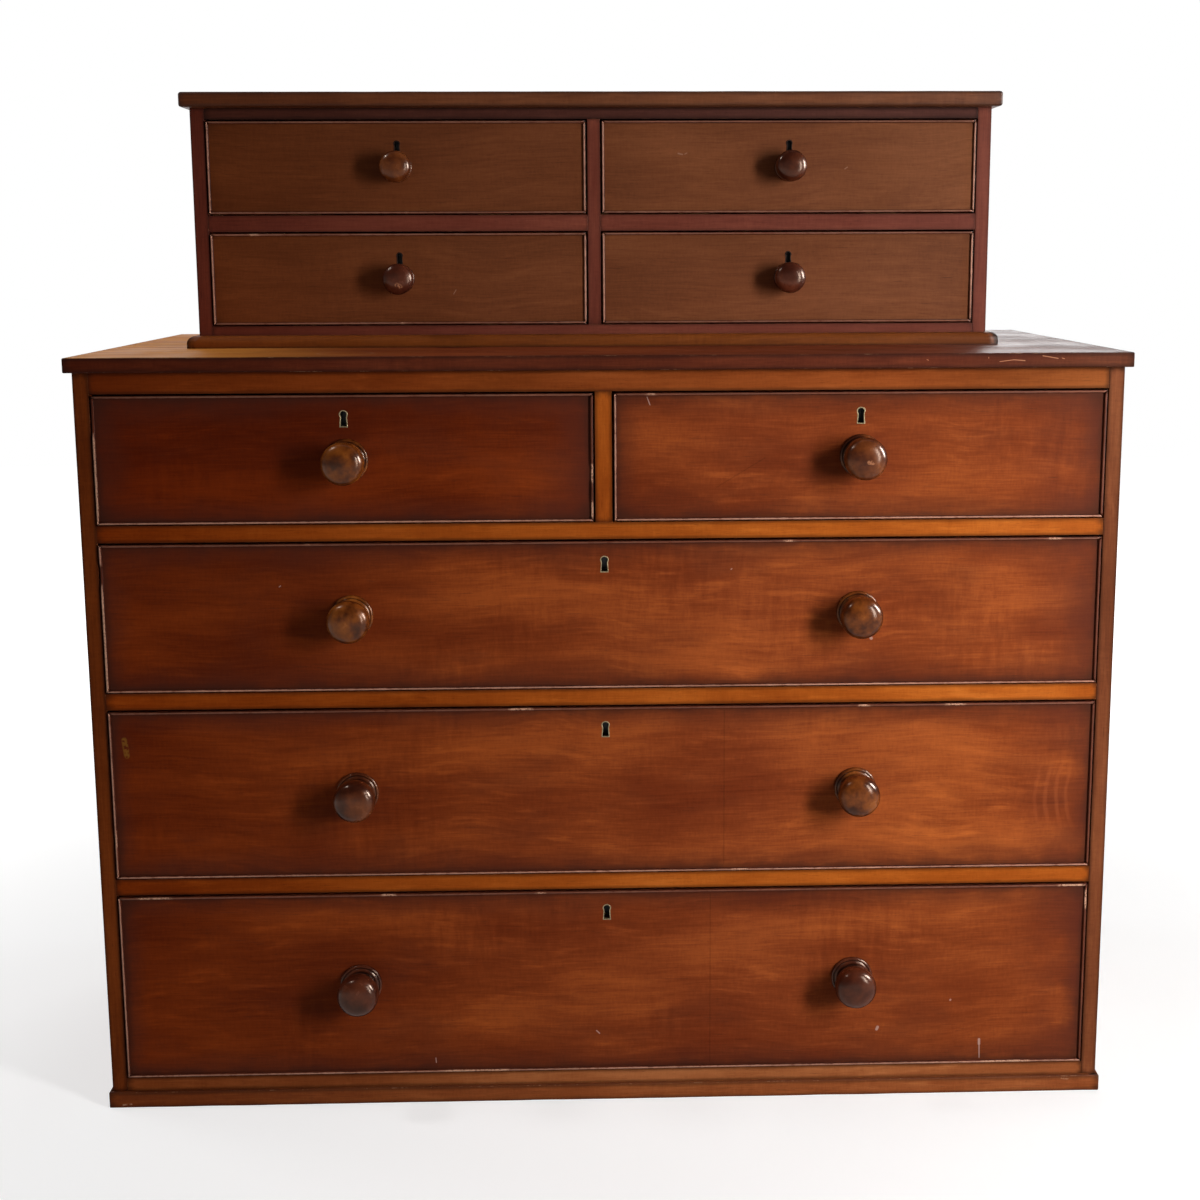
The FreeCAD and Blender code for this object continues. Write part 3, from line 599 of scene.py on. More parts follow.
def knob_wood():
    """Turned mahogany, end grain on the ball, polished by hands."""
    paint = Paint("turned_knob_wood")
    grain = paint.attribute("grain")
    cloud = paint.noise(grain, 38.0, 3.0, 0.6)
    speck = paint.noise(grain, (900.0, 900.0, 60.0))
    base = paint.ramp(cloud, (0.25, (40, 15, 9)), (0.55, (78, 34, 21)), (0.8, (110, 54, 33)))
    golden = paint.ramp(cloud, (0.35, (50, 19, 5)), (0.5, (112, 53, 13)), (0.7, (170, 96, 30)))
    paint.colour = paint.mix(paint.attribute("warm", "Fac"), base, golden)
    paint.cover(speck.step(0.55, 0.8, 0.0, 0.35), 34, 16, 12)
    before_case = paint.xyz()[Y].step(-0.100, -0.098, 1.0, 0.0)
    nick = paint.strokes(KNOB_NICKS) * paint.noise(grain, 420.0).step(0.4, 0.6) * before_case
    paint.cover(nick * 0.6, 198, 132, 92)
    # Painted shade in the knob's hollows: the grooves of its ring and the neck behind its ball.
    paint.cover(paint.attribute("quirk", "Fac"), 22, 10, 8)
    normal = paint.bump(paint.noise(grain, 60.0), 0.0006, strength=0.2)
    return paint.finish(cloud.step(0.3, 0.7, 0.20, 0.28), normal, 0.31, sheen=(1, 0.76, 0.60))


def deep_grain(paint):
    """Object places with the grain running back; Paint.place has it running across."""
    x, y, z = paint.xyz()
    return paint.joined(y, x, z)


def tall_grain(paint):
    """Object places with the grain upright, and another stretch of grain in each back board."""
    x, y, z = paint.xyz()
    number, _ = back_boards(paint)
    return paint.joined(number * 3.7 + z, x, number * 0.61 + y)


BACK_BOARDS = 5


def back_boards(paint):
    """Which back board a place is on, and how far across it, 0 to 1."""
    lo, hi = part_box("lower_back_boards")
    pitch = (hi.x - lo.x) / BACK_BOARDS
    across = paint.xyz()[X] * (1 / pitch) + -lo.x / pitch
    return paint.math("FLOOR", across), paint.math("FRACT", across)


def box_grain(paint):
    """A drawer's sides have no grain lines, and its other faces have grain that runs back."""
    x, y, z = paint.xyz()
    on_side = paint.math("GREATER_THAN", abs(paint.xyz("Normal")[X]), 0.5)
    return paint.mix(on_side, paint.joined(y, z, x), (0, 0, 0), kind="VECTOR")


def inner_wood(name, dark, middle, light, grain_of, boards=None):
    """Unpolished wood, planed and dusty, as it is inside a chest."""
    paint = Paint(name)
    grain = grain_of(paint)
    along, across, through = paint.parts(grain)
    across = across + (paint.noise(grain, 2.4) - 0.5) * 0.09
    grain = paint.joined(along, across, through)
    rings = paint.noise(grain, (1.1, 46.0, 46.0), 3.0, 0.55)
    streak = paint.noise(grain, (16.0, 420.0, 420.0), 3.0, 0.6)
    value = (streak - 0.5) * 0.55 + rings
    paint.colour = paint.ramp(value, (0.1, dark), (0.5, middle), (0.9, light))
    dust = paint.noise(paint.place(), 9.0, 4.0, 0.6).step(0.45, 0.75, 0.0, 0.35)
    paint.cover(dust, 104, 74, 52)
    if boards:
        number, share = boards(paint)
        own = paint.noise(paint.joined(number * 5.3, 0.5, 0.5), 1.0, 0.0).step(0.35, 0.65, 0.0, 0.5)
        paint.tint(own, (0.62, 0.58, 0.52, 1))
        joint = share.least(1.0 - share).step(0.002, 0.03, 0.8, 0.0)
        paint.cover(joint, 52, 32, 20)
    normal = paint.bump(streak, 0.0002, strength=0.5)
    return paint.finish(streak.step(0.2, 0.8, 0.62, 0.8), normal, 0.2)


def brass(name, bright, dull, roughness, keyhole_shade=False):
    """Spotted brass; on a lock, only the faces that look back or up stay brass, and the rest is painted
    black, as the shade seen through the keyhole.
    """
    paint = Paint(name)
    spot = paint.noise(paint.place(), 160.0, 4.0, 0.65)
    paint.colour = paint.ramp(spot, (0.3, dull), (0.6, bright))
    gloss = spot.step(0.3, 0.7, roughness + 0.2, roughness)
    if not keyhole_shade:
        normal = paint.bump(paint.noise(paint.place(), 700.0), 0.00008, strength=0.4)
        return paint.finish(gloss, normal, metallic=0.9)
    # Painted shade: the faces that look neither back nor up are black and not metal, so that the keyhole
    # looks dark.
    _, rear, top = paint.xyz("Normal")
    seen = rear.step(0.3, 0.7).most(top.step(0.3, 0.7))
    paint.cover(1.0 - seen, 10, 7, 5)
    return paint.finish(gloss, metallic=seen * 0.9)


# What the rails and sides share, and the colour of the upper fronts and the lid across the chest:
# partly faded, partly painted shade at the left end.
RAIL_LOOKS = dict(grime=(38, 16, 10), grime_reach=0.004, sheen=(1, 0.66, 0.42))
UPPER_FADE_AND_PAINTED_LIGHT = ((0.62, 0.38, 0.12), (0.97, 0.96, 0.92), (1.06, 1.04, 1.0))
# The materials by their short names. The factors after the three colours change them across the chest,
# from the left end to the right: partly real fading, partly painted shade and painted reflection.
materials = {
    "lower_fronts": mahogany(
        "lower_drawer_fronts", (112, 45, 20), (152, 72, 33), (198, 104, 46),
        ((0.45, 0.21, 0.03), (0.94, 0.92, 0.88), (1.0, 1.05, 1.38)), grime=(40, 30, 26),
        grime_reach=0.010, grime_strength=0.6, wear=0.0, ripple=0.35, figure=1.2, marks=front_marks,
        haze=(78, 36, 26), specular=0.09, sheen=(1, 0.62, 0.40),
    ),
    "upper_fronts": mahogany(
        "upper_drawer_fronts", (98, 54, 33), (127, 74, 46), (152, 94, 60), UPPER_FADE_AND_PAINTED_LIGHT,
        grime=(42, 24, 18), grime_reach=0.005, grime_strength=0.35, wear=0.0, ripple=0.18, figure=0.7,
        marks=small_front_marks, sheen=(1, 0.75, 0.58),
    ),
    "rails": mahogany(
        "mahogany_rails", (148, 68, 18), (184, 94, 28), (210, 118, 44),
        ((0.44, 0.19, 0.02), (1.1, 1.12, 1.1), (0.93, 0.93, 1.3)), wear=0.3, figure=1.35, **RAIL_LOOKS,
    ),
    # A darker copy of the rails' mahogany: painted shade under the lower top's overhang, with a painted
    # bluish reflection at the right end.
    "top_rail": mahogany(
        "top_rail_wood_shaded", (120, 54, 20), (150, 74, 30), (176, 94, 44),
        ((0.45, 0.20, 0.03), (1.4, 1.4, 1.2), (0.70, 0.83, 1.75)), wear=0.2, figure=1.35, **RAIL_LOOKS,
    ),
    "bottom_rail": mahogany(
        "bottom_rail_wood", (144, 78, 42), (178, 106, 60), (204, 132, 84),
        ((0.5, 0.28, 0.1), (1, 1, 1), (1, 1, 1)), wear=0.3, figure=1.35, **RAIL_LOOKS,
    ),
    "sides": mahogany(
        "case_sides", (94, 46, 26), (128, 70, 41), (158, 94, 58),
        ((0.88, 0.54, 0.12), (1, 1, 1), (1.1, 1.1, 1.1)), **RAIL_LOOKS,
    ),
    # Painted lighter in the middle, as light on the divider, with painted shade at the left end.
    "upper_frame": mahogany(
        "mahogany_upper", (98, 45, 34), (128, 65, 49), (156, 86, 65),
        ((0.42, 0.20, 0.09), (1.25, 1.3, 1.35), (1.1, 1.12, 1.15)), wear=0.25, grime=(34, 16, 14),
        grime_reach=0.003, grime_strength=0.5, ripple=0.15, figure=0.6, specular=0.07,
    ),
    # A darker, greyer copy of the upper frame's mahogany: painted shade under the lid's overhang.
    "frieze": mahogany(
        "frieze_wood_shaded", (70, 39, 33), (94, 55, 46), (116, 72, 61),
        ((0.66, 0.45, 0.3), (1, 1, 1), (1.1, 1.1, 1.1)), wear=0.2, grime=(26, 14, 12),
        grime_reach=0.004, ripple=0.15, figure=0.6, specular=0.05,
    ),
    # Painted shade at the left end and a painted blue-white reflection of the window at the right end,
    # lighter in the middle.
    "lower_top": mahogany(
        "lower_top_board", (76, 30, 16), (104, 46, 26), (140, 72, 42),
        ((0.52, 0.30, 0.10), (1.5, 1.6, 1.7), (0.68, 1.08, 2.0)), wear=0.6, wear_reach=0.0012,
        bare=(190, 146, 112), grime_reach=0.005, roughness=(0.42, 0.60), specular=0.06, marks=top_marks,
    ),
    "lid": mahogany(
        "lid_board", (90, 46, 24), (122, 72, 44), (154, 96, 62), UPPER_FADE_AND_PAINTED_LIGHT, wear=0.3,
        bare=(150, 104, 72), grime_reach=0.005, figure=0.8, roughness=(0.34, 0.50), specular=0.14,
    ),
    "moulding": mahogany(
        "moulding_wood", (106, 52, 18), (138, 73, 27), (168, 96, 42),
        ((0.8, 0.7, 0.5), (1, 1, 1), (0.95, 0.97, 1)), wear=0.25, grime=(48, 24, 10),
        grime_reach=0.003, figure=0.7,
    ),
    "plinth": mahogany(
        "plinth_wood", (124, 58, 26), (164, 90, 46), (198, 122, 70),
        ((0.5, 0.33, 0.13), (1, 1, 1), (1, 1, 1)), wear=0.6, wear_reach=0.0012,
        bare=(206, 160, 122), grime_reach=0.005, figure=0.8, marks=plinth_marks,
    ),
    "beads": bead_wood(),
    "knobs": knob_wood(),
    "linings": inner_wood("drawer_linings", (120, 78, 46), (156, 110, 70), (182, 138, 94), box_grain),
    "pine_deep": inner_wood("pine_deep", (132, 88, 48), (172, 124, 76), (198, 154, 104), deep_grain),
    "pine_tall": inner_wood("pine_tall", (122, 78, 44), (158, 110, 66), (184, 138, 92), tall_grain,
                            back_boards),
    "pine_wide": inner_wood("pine_wide", (124, 80, 46), (160, 112, 68), (188, 142, 96), Paint.place),
    "brass": brass("keyhole_brass", (168, 150, 116), (112, 96, 70), 0.38),
    "dull_brass": brass("dull_keyhole_brass", (52, 34, 26), (30, 18, 14), 0.55),
    "lock_brass": brass("lock_brass", (170, 140, 82), (104, 78, 44), 0.34, keyhole_shade=True),
    "bolt_brass": brass("bolt_brass", (186, 156, 96), (120, 92, 54), 0.26),
}


# ---- drawer fronts
LARGE_KEYHOLE = dict(head=3.9, neck=3.5, waist=5.8, foot=7.4, height=17.4, drop=29.5)
SMALL_KEYHOLE = dict(head=3.0, neck=2.7, waist=4.6, foot=5.8, height=13.2, drop=33.0)
LINER_WALL = 1.2 * MM
LINER_DEPTH = 4.0 * MM
LINER_PROUD = 0.2 * MM
KEYHOLE_HEAD_STEPS = 16

LOCK_CASE_HALF = 25.0 * MM
LOCK_PLATE = 2.5 * MM
LOCK_ROOM = 0.2 * MM

# How much darker than the others a front is.
FRONT_SHADES = {"short_left": 0.85, "short_right": 0.15, "small_top_left": 0.1}


class Front:
    """One drawer front: its outline, its face and its keyhole (metres), from the frame."""

    def __init__(self, name):
        lower = name in LOWER_DRAWERS
        lo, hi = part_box(f"{name}_front")
        self.name = name
        self.body = f"{name}_drawer"
        self.lower = lower
        self.left, self.right = lo.x, hi.x
        self.bottom, self.top = lo.z, hi.z
        self.centre = (lo.x + hi.x) / 2
        self.middle = (lo.z + hi.z) / 2
        self.face = lower_face if lower else upper_face
        self.back = hi.y
        sizes = LARGE_KEYHOLE if lower else SMALL_KEYHOLE
        self.keyhole = {key: value * MM for key, value in sizes.items()}
        self.key_height = hi.z + GAP_ABOVE - self.keyhole["drop"]


def keyhole_outline(front, grow):
    """The keyhole's edge as (x, z), head first, with the same number of points for any growth."""
    hole = front.keyhole
    top = front.key_height + hole["height"] / 2 + grow
    bottom = front.key_height - hole["height"] / 2 - grow
    radius = hole["head"] + grow
    head = top - radius
    outline = []
    for step in range(KEYHOLE_HEAD_STEPS + 1):
        angle = math.pi * step / KEYHOLE_HEAD_STEPS
        outline.append((front.centre + radius * math.cos(angle), head + radius * math.sin(angle)))
    waist = hole["waist"] / 2 + grow
    foot = hole["foot"] / 2 + grow
    neck = head - hole["neck"]
    for x, z in ((-waist, neck), (-foot, bottom), (foot, bottom), (waist, neck)):
        outline.append((front.centre + x, z))
    return outline


def keyhole_cutter(front):
    outline = keyhole_outline(front, LINER_WALL * 0.5)
    ends = (front.face - 2 * MM, front.back + 2 * MM)
    points = [(x, y, z) for y in ends for x, z in outline]
    return closed_object("cutter", points, capped_loft(len(outline), len(ends)))


def lock_recess(front):
    """The room that the lock, its selvedge plate and the bolt have in the board."""
    lo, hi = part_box(f"{front.name}_lock")
    half = LOCK_CASE_HALF + LOCK_ROOM
    near = lo.y - LOCK_ROOM
    far, high = hi.y + PAST, hi.z + PAST
    case = block((front.centre - half, near, lo.z - LOCK_ROOM), (front.centre + half, far, high))
    foot = hi.z - LOCK_PLATE - LOCK_ROOM
    return [case, block((lo.x - LOCK_ROOM, near, foot), (hi.x + LOCK_ROOM, far, high))]


def front_board(front, seed):
    lo = (front.left + FLUSH, front.face, front.bottom + FLUSH)
    hi = (front.right - FLUSH, front.back - FLUSH, front.top - FLUSH)
    piece = board(f"{front.name}_board", lo, hi, X, 0.4 * MM, seed, pitch=0.05, steps=2,
                  cutters=[keyhole_cutter(front)] + lock_recess(front),
                  shade=FRONT_SHADES.get(front.name, 0.0))
    case = "lower" if front.lower else "upper"
    fit(piece, front.body, f"{case}_drawer_fronts", f"{case}_fronts", f"{front.name}_front")


def liner(front):
    """The keyhole's thin metal lining, a hair proud of the wood, with its rim's edges rounded."""
    rim, proud = LINER_WALL, -LINER_PROUD
    wall = ((rim, 0.0), (rim, 0.5 * proud), (0.85 * rim, proud), (0.15 * rim, proud), (0.0, 0.5 * proud),
            (0.0, LINER_DEPTH), (rim, LINER_DEPTH))
    rings = [[(x, front.face + depth, z) for x, z in keyhole_outline(front, grow)] for grow, depth in wall]
    points = [point for ring in rings for point in ring]
    faces = loft(len(rings[0]), len(rings), closed=True)
    piece = closed_object(f"{front.name}_keyhole_lining", points, faces)
    fit(piece, front.body, "keyhole_brass", "brass" if front.lower else "dull_brass")


# Where beads have lost their polish or a splinter: from, to (metres) and depth (mm), by drawer and side.
CHIPS = {
    ("short_left", "right"): ((0.764, 0.786, 0.9), (0.721, 0.743, 0.5)),
    ("short_left", "left"): ((0.723, 0.819, 0.3),),
    ("short_right", "top"): ((0.050, 0.060, 0.3),),
    ("long_top", "top"): ((-0.347, -0.342, 0.9), (0.520, 0.536, 0.6), (0.210, 0.222, 0.4)),
    ("long_top", "left"): ((0.522, 0.640, 0.3),),
    ("long_middle", "top"): ((-0.115, -0.083, 1.1), (0.404, 0.428, 0.5), (0.300, 0.316, 0.4)),
    ("long_middle", "left"): ((0.330, 0.352, 0.8),),
    ("long_middle", "bottom"): ((-0.374, -0.368, 0.6), (0.150, 0.172, 0.4)),
    ("long_bottom", "top"): (
        (-0.271, -0.252, 0.9), (-0.085, -0.074, 0.7), (-0.560, -0.520, 0.4), (0.545, 0.580, 0.6)
    ),
    ("long_bottom", "right"): ((0.236, 0.262, 0.7),),
    ("long_bottom", "bottom"): ((-0.200, -0.120, 0.3), (0.460, 0.520, 0.3)),
    ("small_top_left", "bottom"): ((-0.242, -0.238, 0.6),),
    ("small_low_left", "top"): ((-0.432, -0.420, 0.7),),
    ("small_low_left", "bottom"): ((-0.250, -0.246, 0.5),),
}
# How pale each side's bead is on its nose: partly wear, partly a painted highlight on the sides that catch
# the light.
LOWER_RUB_AND_HIGHLIGHT = {"left": 1.25, "bottom": 1.1, "top": 0.30, "right": 0.12}
UPPER_RUB_AND_HIGHLIGHT = {"left": 1.5, "bottom": 0.45, "top": 0.45, "right": 1.4}
# Stretches where the nose of a side's bead has broken away.
BROKEN = {("short_left", "left"): (0.822, 0.910), ("long_top", "left"): (0.646, 0.672)}
WHOLE = (1.0, 0.0)
BREAK_DEPTH = 1.9 * MM

BEAD_WIDTH = 3.0 * MM
BEAD_PROUD = 3.0 * MM
BEAD_LET_IN = 5.5 * MM
BEAD_SHOULDER = 0.9 * MM
BEAD_PITCH = 4.0 * MM
BEAD_NOSE_STEPS = 7


def bead(front, side, seed):
    """One mitred strip round the drawer front, with a rounded nose that is worn and chipped."""
    level = side in ("top", "bottom")
    along = X if level else Z
    start, end = (front.left, front.right) if level else (front.bottom, front.top)
    edge = getattr(front, side)
    inward = 1 if side in ("left", "bottom") else -1
    chips = CHIPS.get((front.name, side), ())
    rub = (LOWER_RUB_AND_HIGHLIGHT if front.lower else UPPER_RUB_AND_HIGHLIGHT)[side]
    gone_low, gone_high = BROKEN.get((front.name, side), WHOLE)
    # How far round the nose a corner lies, none for the two that are let in, and its share of the width.
    profile = [(None, 1.0), (None, 0.0)]
    for step in range(BEAD_NOSE_STEPS + 1):
        angle = math.pi * step / BEAD_NOSE_STEPS
        profile.append((math.sin(angle), (1 - math.cos(angle)) / 2))
    count = max(8, round((end - start) / BEAD_PITCH))
    points, noses, chipped, rubs = [], [], [], []
    for ring in range(count + 1):
        for nose, across in profile:
            out = across * BEAD_WIDTH
            distance = start + out + (end - start - 2 * out) * ring / count
            rise = BEAD_PROUD * (0.96 + 0.04 * wander(seed, distance, 0.012))
            bare = 0.0
            for low, high, deep in chips:
                inside = min(distance - low, high - distance) / 0.003
                strength = clamped(inside + 0.6 * wander(seed + 5, distance, 0.004))
                rise -= deep * MM * strength
                bare = max(bare, strength)
            gone = clamped(min(distance - gone_low, gone_high - distance) / 0.002)
            rise -= BREAK_DEPTH * gone
            depth = BEAD_LET_IN if nose is None else BEAD_SHOULDER * (1 - nose) - rise
            point = Vector((0.0, front.face + depth, 0.0))
            point[along] = distance
            point[Z if level else X] = edge + inward * out
            points.append(point)
            noses.append(nose or 0.0)
            chipped.append(bare * clamped((noses[-1] - 0.45) * 3))
            rubs.append(rub * (1 - gone) * (0.8 + 0.4 * wander(seed + 9, distance, 0.09)))
    name = f"{front.name}_bead_{side}"
    piece = closed_object(name, points, capped_loft(len(profile), count + 1))
    offset = grain_start(seed, 9)
    grain = [offset + (p if level else Vector((p.z, p.y, p.x))) for p in points]
    give(piece, grain=grain, nose=noses, chip=chipped, rub=rubs)
    smooth(piece)
    fit(piece, front.body, "cock_beads", "beads")


# Knobs, in mm.  The widest place is at the centre's depth; the neck starts at the root's.
LARGE_KNOB = dict(ball=24.6, centre=32.5, tip=48.5, ring=25.2, ring_depth=5.0, neck=15.0, root=7.5)
SMALL_KNOB = dict(ball=19.0, centre=25.0, tip=36.9, ring=18.0, ring_depth=4.0, neck=11.5, root=5.4)
# The ring's section: how far inside its radius, how deep, and how far down in a hollow, which sets its
# painted shade.
RING_FOOT = ((0.5, 0.0, 0.6), (0.0, 0.5, 0.3), (0.0, 2.2, 0.0))
RING_INSIDE = ((3.0, 3.9, 0.8), (3.4, 3.9, 0.9), (3.7, 4.7, 0.2), (4.4, 5.5, 0.0), (5.6, 6.0, 0.0),
               (6.8, 5.9, 0.4), (7.8, 5.4, 0.9))
RING_STEPS = 5
BACK_STEPS = 12
DOME_STEPS = 24
# Above 2 the dome is squarer than an ellipse.
DOME_POWER = 2.5
KNOB_SEGMENTS = 72


def knob_profile(knob):
    """(radius, depth, hollow shade) from the drawer's face to the tip; the hollow shade is how deep in a
    hollow it lies, and how dark it is painted as shade.
    """
    ring = knob["ring"]
    scale = knob["ring_depth"] / 5.0
    shoulder = []
    for step in range(1, RING_STEPS + 1):
        angle = math.pi / 2 * step / RING_STEPS
        shoulder.append((2.4 * (1 - math.cos(angle)), 2.2 + 2.2 * math.sin(angle), 0.0))
    section = (*RING_FOOT, *shoulder, *RING_INSIDE)
    profile = [(ring - inside * scale, depth * scale, quirk) for inside, depth, quirk in section]
    ball = knob["ball"]
    centre = knob["centre"]
    start = math.asin(knob["neck"] / ball)
    back = (centre - knob["root"]) / math.cos(start)
    for step in range(BACK_STEPS + 1):
        angle = start + (math.pi / 2 - start) * step / BACK_STEPS
        # Painted shade on the back of the ball, darkest at the neck.
        hollow = max(0.0, 0.9 - 2.4 * step / BACK_STEPS)
        profile.append((ball * math.sin(angle), centre - back * math.cos(angle), hollow))
    reach = knob["tip"] - centre
    power = 2 / DOME_POWER
    for step in range(1, DOME_STEPS):
        angle = math.pi / 2 * step / DOME_STEPS
        profile.append((ball * math.cos(angle) ** power, centre + reach * math.sin(angle) ** power, 0.0))
    return profile


def turned_knob(front, name, x, z, warm, seed):
    knob = LARGE_KNOB if front.lower else SMALL_KNOB
    profile = knob_profile(knob)
    count = KNOB_SEGMENTS
    points, quirks = [], []
    for radius, depth, quirk in profile:
        for i in range(count):
            angle = 2 * math.pi * i / count
            a, b = math.cos(angle), math.sin(angle)
            wobble = noise.noise(Vector((a, b, depth / 30)) * 1.1 + Vector((seed, 0, 0)))
            r = radius * MM * (1 + 0.004 * wobble)
            points.append(Vector((x + r * a, front.face - depth * MM, z + r * b)))
            quirks.append(quirk)
    points.append(Vector((x, front.face - knob["tip"] * MM, z)))
    quirks.append(0.0)
    last = (len(profile) - 1) * count
    dome = [(last + i, last + (i + 1) % count, last + count) for i in range(count)]
    piece = closed_object(name, points, [tuple(range(count))] + loft(count, len(profile)) + dome)
    for polygon in piece.data.polygons:
        polygon.use_smooth = True
    offset = grain_start(seed, 9)
    grain = [offset + Vector((p.x, p.z, p.y)) for p in points]
    give(piece, grain=grain, quirk=quirks, warm=[warm] * len(points))
    fit(piece, front.body, "knob_wood", "knobs")


# Each knob from the left: how golden its wood is, and how far it stands off its drawer's pattern (mm).
KNOBS = {
    "short_left": ((0.9, 2.0, -1.5),),
    "short_right": ((0.35, 1.0, 0.0),),
    "long_top": ((0.8, 2.5, 1.0), (0.7, 0.0, 0.5)),
    "long_middle": ((0.25, 3.0, 0.5), (0.6, 0.5, -1.0)),
    "long_bottom": ((0.05, 0.0, 0.0), (0.05, 0.5, 0.0)),
    "small_top_left": ((0.35, 0.0, 0.0),),
    "small_top_right": ((0.1, 0.0, 0.0),),
    "small_low_left": ((0.0, 0.0, 0.0),),
    "small_low_right": ((0.0, 0.0, 0.0),),
}


def dress_drawer(name, seed):
    front = Front(name)
    front_board(front, seed)
    liner(front)
    for number, side in enumerate(("left", "right", "bottom", "top")):
        bead(front, side, 10 * seed + number)
    places = [(front.centre, "")]
    if len(KNOBS[name]) == 2:
        short = Front("short_right")
        places = [(-short.centre, "_left"), (short.centre, "_right")]
    for number, ((x, suffix), (warm, shift, lift)) in enumerate(zip(places, KNOBS[name])):
        turned_knob(front, f"{name}_knob{suffix}", x + shift * MM, front.middle + lift * MM, warm,
                    seed + 3 * number)


# ---- the cases
MORTISE_GAP = 1.5 * MM
BOLT_THROW = 7.0 * MM
RAIL_ARRIS = 0.5 * MM
LOWER_SIDE_ARRIS = 0.8 * MM
UPPER_SIDE_ARRIS = 0.7 * MM
TOP_ARRIS = 1.6 * MM
LID_ARRIS = 3.6 * MM
PLINTH_ARRIS = 1.6 * MM
PLINTH_BACK_ARRIS = 1.0 * MM
PLINTH_WIDTH = 70.0 * MM


def bolt_mortise(name):
    """The slot over a closed drawer that its lock bolt rises into."""
    lo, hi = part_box(f"{name}_bolt")
    gap = Vector((MORTISE_GAP, MORTISE_GAP, 0.0))
    return block(lo - gap, hi + gap + Vector((0, 0, BOLT_THROW + MORTISE_GAP)))


def rails(slot, face, back, rows):
    """Rails between two places (x, z), with mortises for the bolts of the drawers under them."""
    for name, x0, x1, z0, z1, look, seed, node, locks in rows:
        cutters = [bolt_mortise(lock) for lock in locks]
        piece = board(name, (x0, face, z0), (x1, back, z1), X, RAIL_ARRIS, seed, cutters=cutters)
        fit(piece, "case", slot, look, node)


def side_panels(case, rear, radius, first_seed, slot, look):
    """A case's two sides, with a rebate for its back."""
    for number, word in enumerate(("left", "right")):
        lo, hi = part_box(f"{case}_side_{word}")
        x0, x1 = (rear[0].x, hi.x + PAST) if word == "left" else (lo.x - PAST, rear[1].x)
        rebate = block((x0, rear[0].y, lo.z - PAST), (x1, hi.y + PAST, hi.z + PAST))
        side = board(f"{case}_side_panel_{word}", lo, hi, Z, radius, first_seed + number, cutters=[rebate])
        fit(side, "case", slot, look, f"{case}_side_{word}")


def dress_lower_case():
    x0, x1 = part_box("lower_side_left")[1].x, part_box("lower_side_right")[0].x
    foot_lo, foot_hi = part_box("lower_bottom_rail")
    back = foot_hi.y
    top_lo, top_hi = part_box("lower_top_rail")
    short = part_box("short_left_front")
    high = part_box("long_top_front")
    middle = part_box("long_middle_front")
    low_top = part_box("long_bottom_front")[1].z
    between = "lower_dividing_rail"
    rails("mahogany_rails", lower_face, back, (
        ("lower_top_rail_bar", x0, x1, top_lo.z, top_hi.z, "top_rail", 21, "lower_top_rail",
         ("short_left", "short_right")),
        (between + "_high", x0, x1, high[1].z + GAP_ABOVE, short[0].z - GAP_BELOW, "rails", 22,
         between + "s", ("long_top",)),
        (between + "_middle", x0, x1, middle[1].z + GAP_ABOVE, high[0].z - GAP_BELOW, "rails", 23,
         between + "s", ("long_middle",)),
        (between + "_low", x0, x1, low_top + GAP_ABOVE, middle[0].z - GAP_BELOW, "rails", 24,
         between + "s", ("long_bottom",)),
        ("lower_bottom_rail_bar", x0, x1, foot_lo.z, foot_hi.z, "bottom_rail", 26, "lower_bottom_rail", ()),
    ))
    post_half = (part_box("short_right_front")[0].x - short[1].x) / 2 - GAP_ABOVE
    post = board("lower_divider_post", (-post_half, lower_face, short[0].z - GAP_BELOW),
                 (post_half, back, short[1].z + GAP_ABOVE), Z, RAIL_ARRIS, 27)
    fit(post, "case", "mahogany_rails", "rails", "lower_divider")
    side_panels("lower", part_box("lower_back_boards"), LOWER_SIDE_ARRIS, 31, "mahogany_rails", "sides")
    lo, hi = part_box("lower_top")
    top = board("lower_top_board", lo, hi, X, TOP_ARRIS, 41, uneven=0.7, pitch=0.008, steps=4)
    fit(top, "case", "mahogany_tops", "lower_top", "lower_top")
    plinth()


def plinth():
    """Four flat members with a worn top edge, mitred at the front corners."""
    lo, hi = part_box("plinth_frame")

    def corner(x, inward, front_kept):
        """A wedge that takes one member's half of a front corner away, beyond the mitre."""
        outer = (x - inward * PAST, lo.y - PAST)
        inner = (x + inward * (PLINTH_WIDTH + PAST), lo.y + PLINTH_WIDTH + PAST)
        third = (outer[0], inner[1]) if front_kept else (inner[0], outer[1])
        points = [(a, b, z) for z in (lo.z - PAST, hi.z + PAST) for a, b in (outer, inner, third)]
        return closed_object("cutter", points, capped_loft(3, 2))

    x0, x1 = lo.x + PLINTH_WIDTH, hi.x - PLINTH_WIDTH
    front = board("plinth_front", lo, (hi.x, lo.y + PLINTH_WIDTH, hi.z), X, PLINTH_ARRIS, 51, uneven=0.7,
                  pitch=0.012, cutters=[corner(lo.x, 1, True), corner(hi.x, -1, True)])
    fit(front, "case", "mahogany_rails", "plinth", "plinth_frame")
    left = board("plinth_side_left", lo, (x0, hi.y, hi.z), Y, PLINTH_ARRIS, 52, uneven=0.7,
                 cutters=[corner(lo.x, 1, False)])
    right = board("plinth_side_right", (x1, lo.y, lo.z), hi, Y, PLINTH_ARRIS, 53, uneven=0.7,
                  cutters=[corner(hi.x, -1, False)])
    rear = board("plinth_back", (x0, hi.y - PLINTH_WIDTH, lo.z), (x1, hi.y, hi.z), X, PLINTH_BACK_ARRIS, 54)
    for member in (left, right, rear):
        fit(member, "case", "mahogany_rails", "plinth")


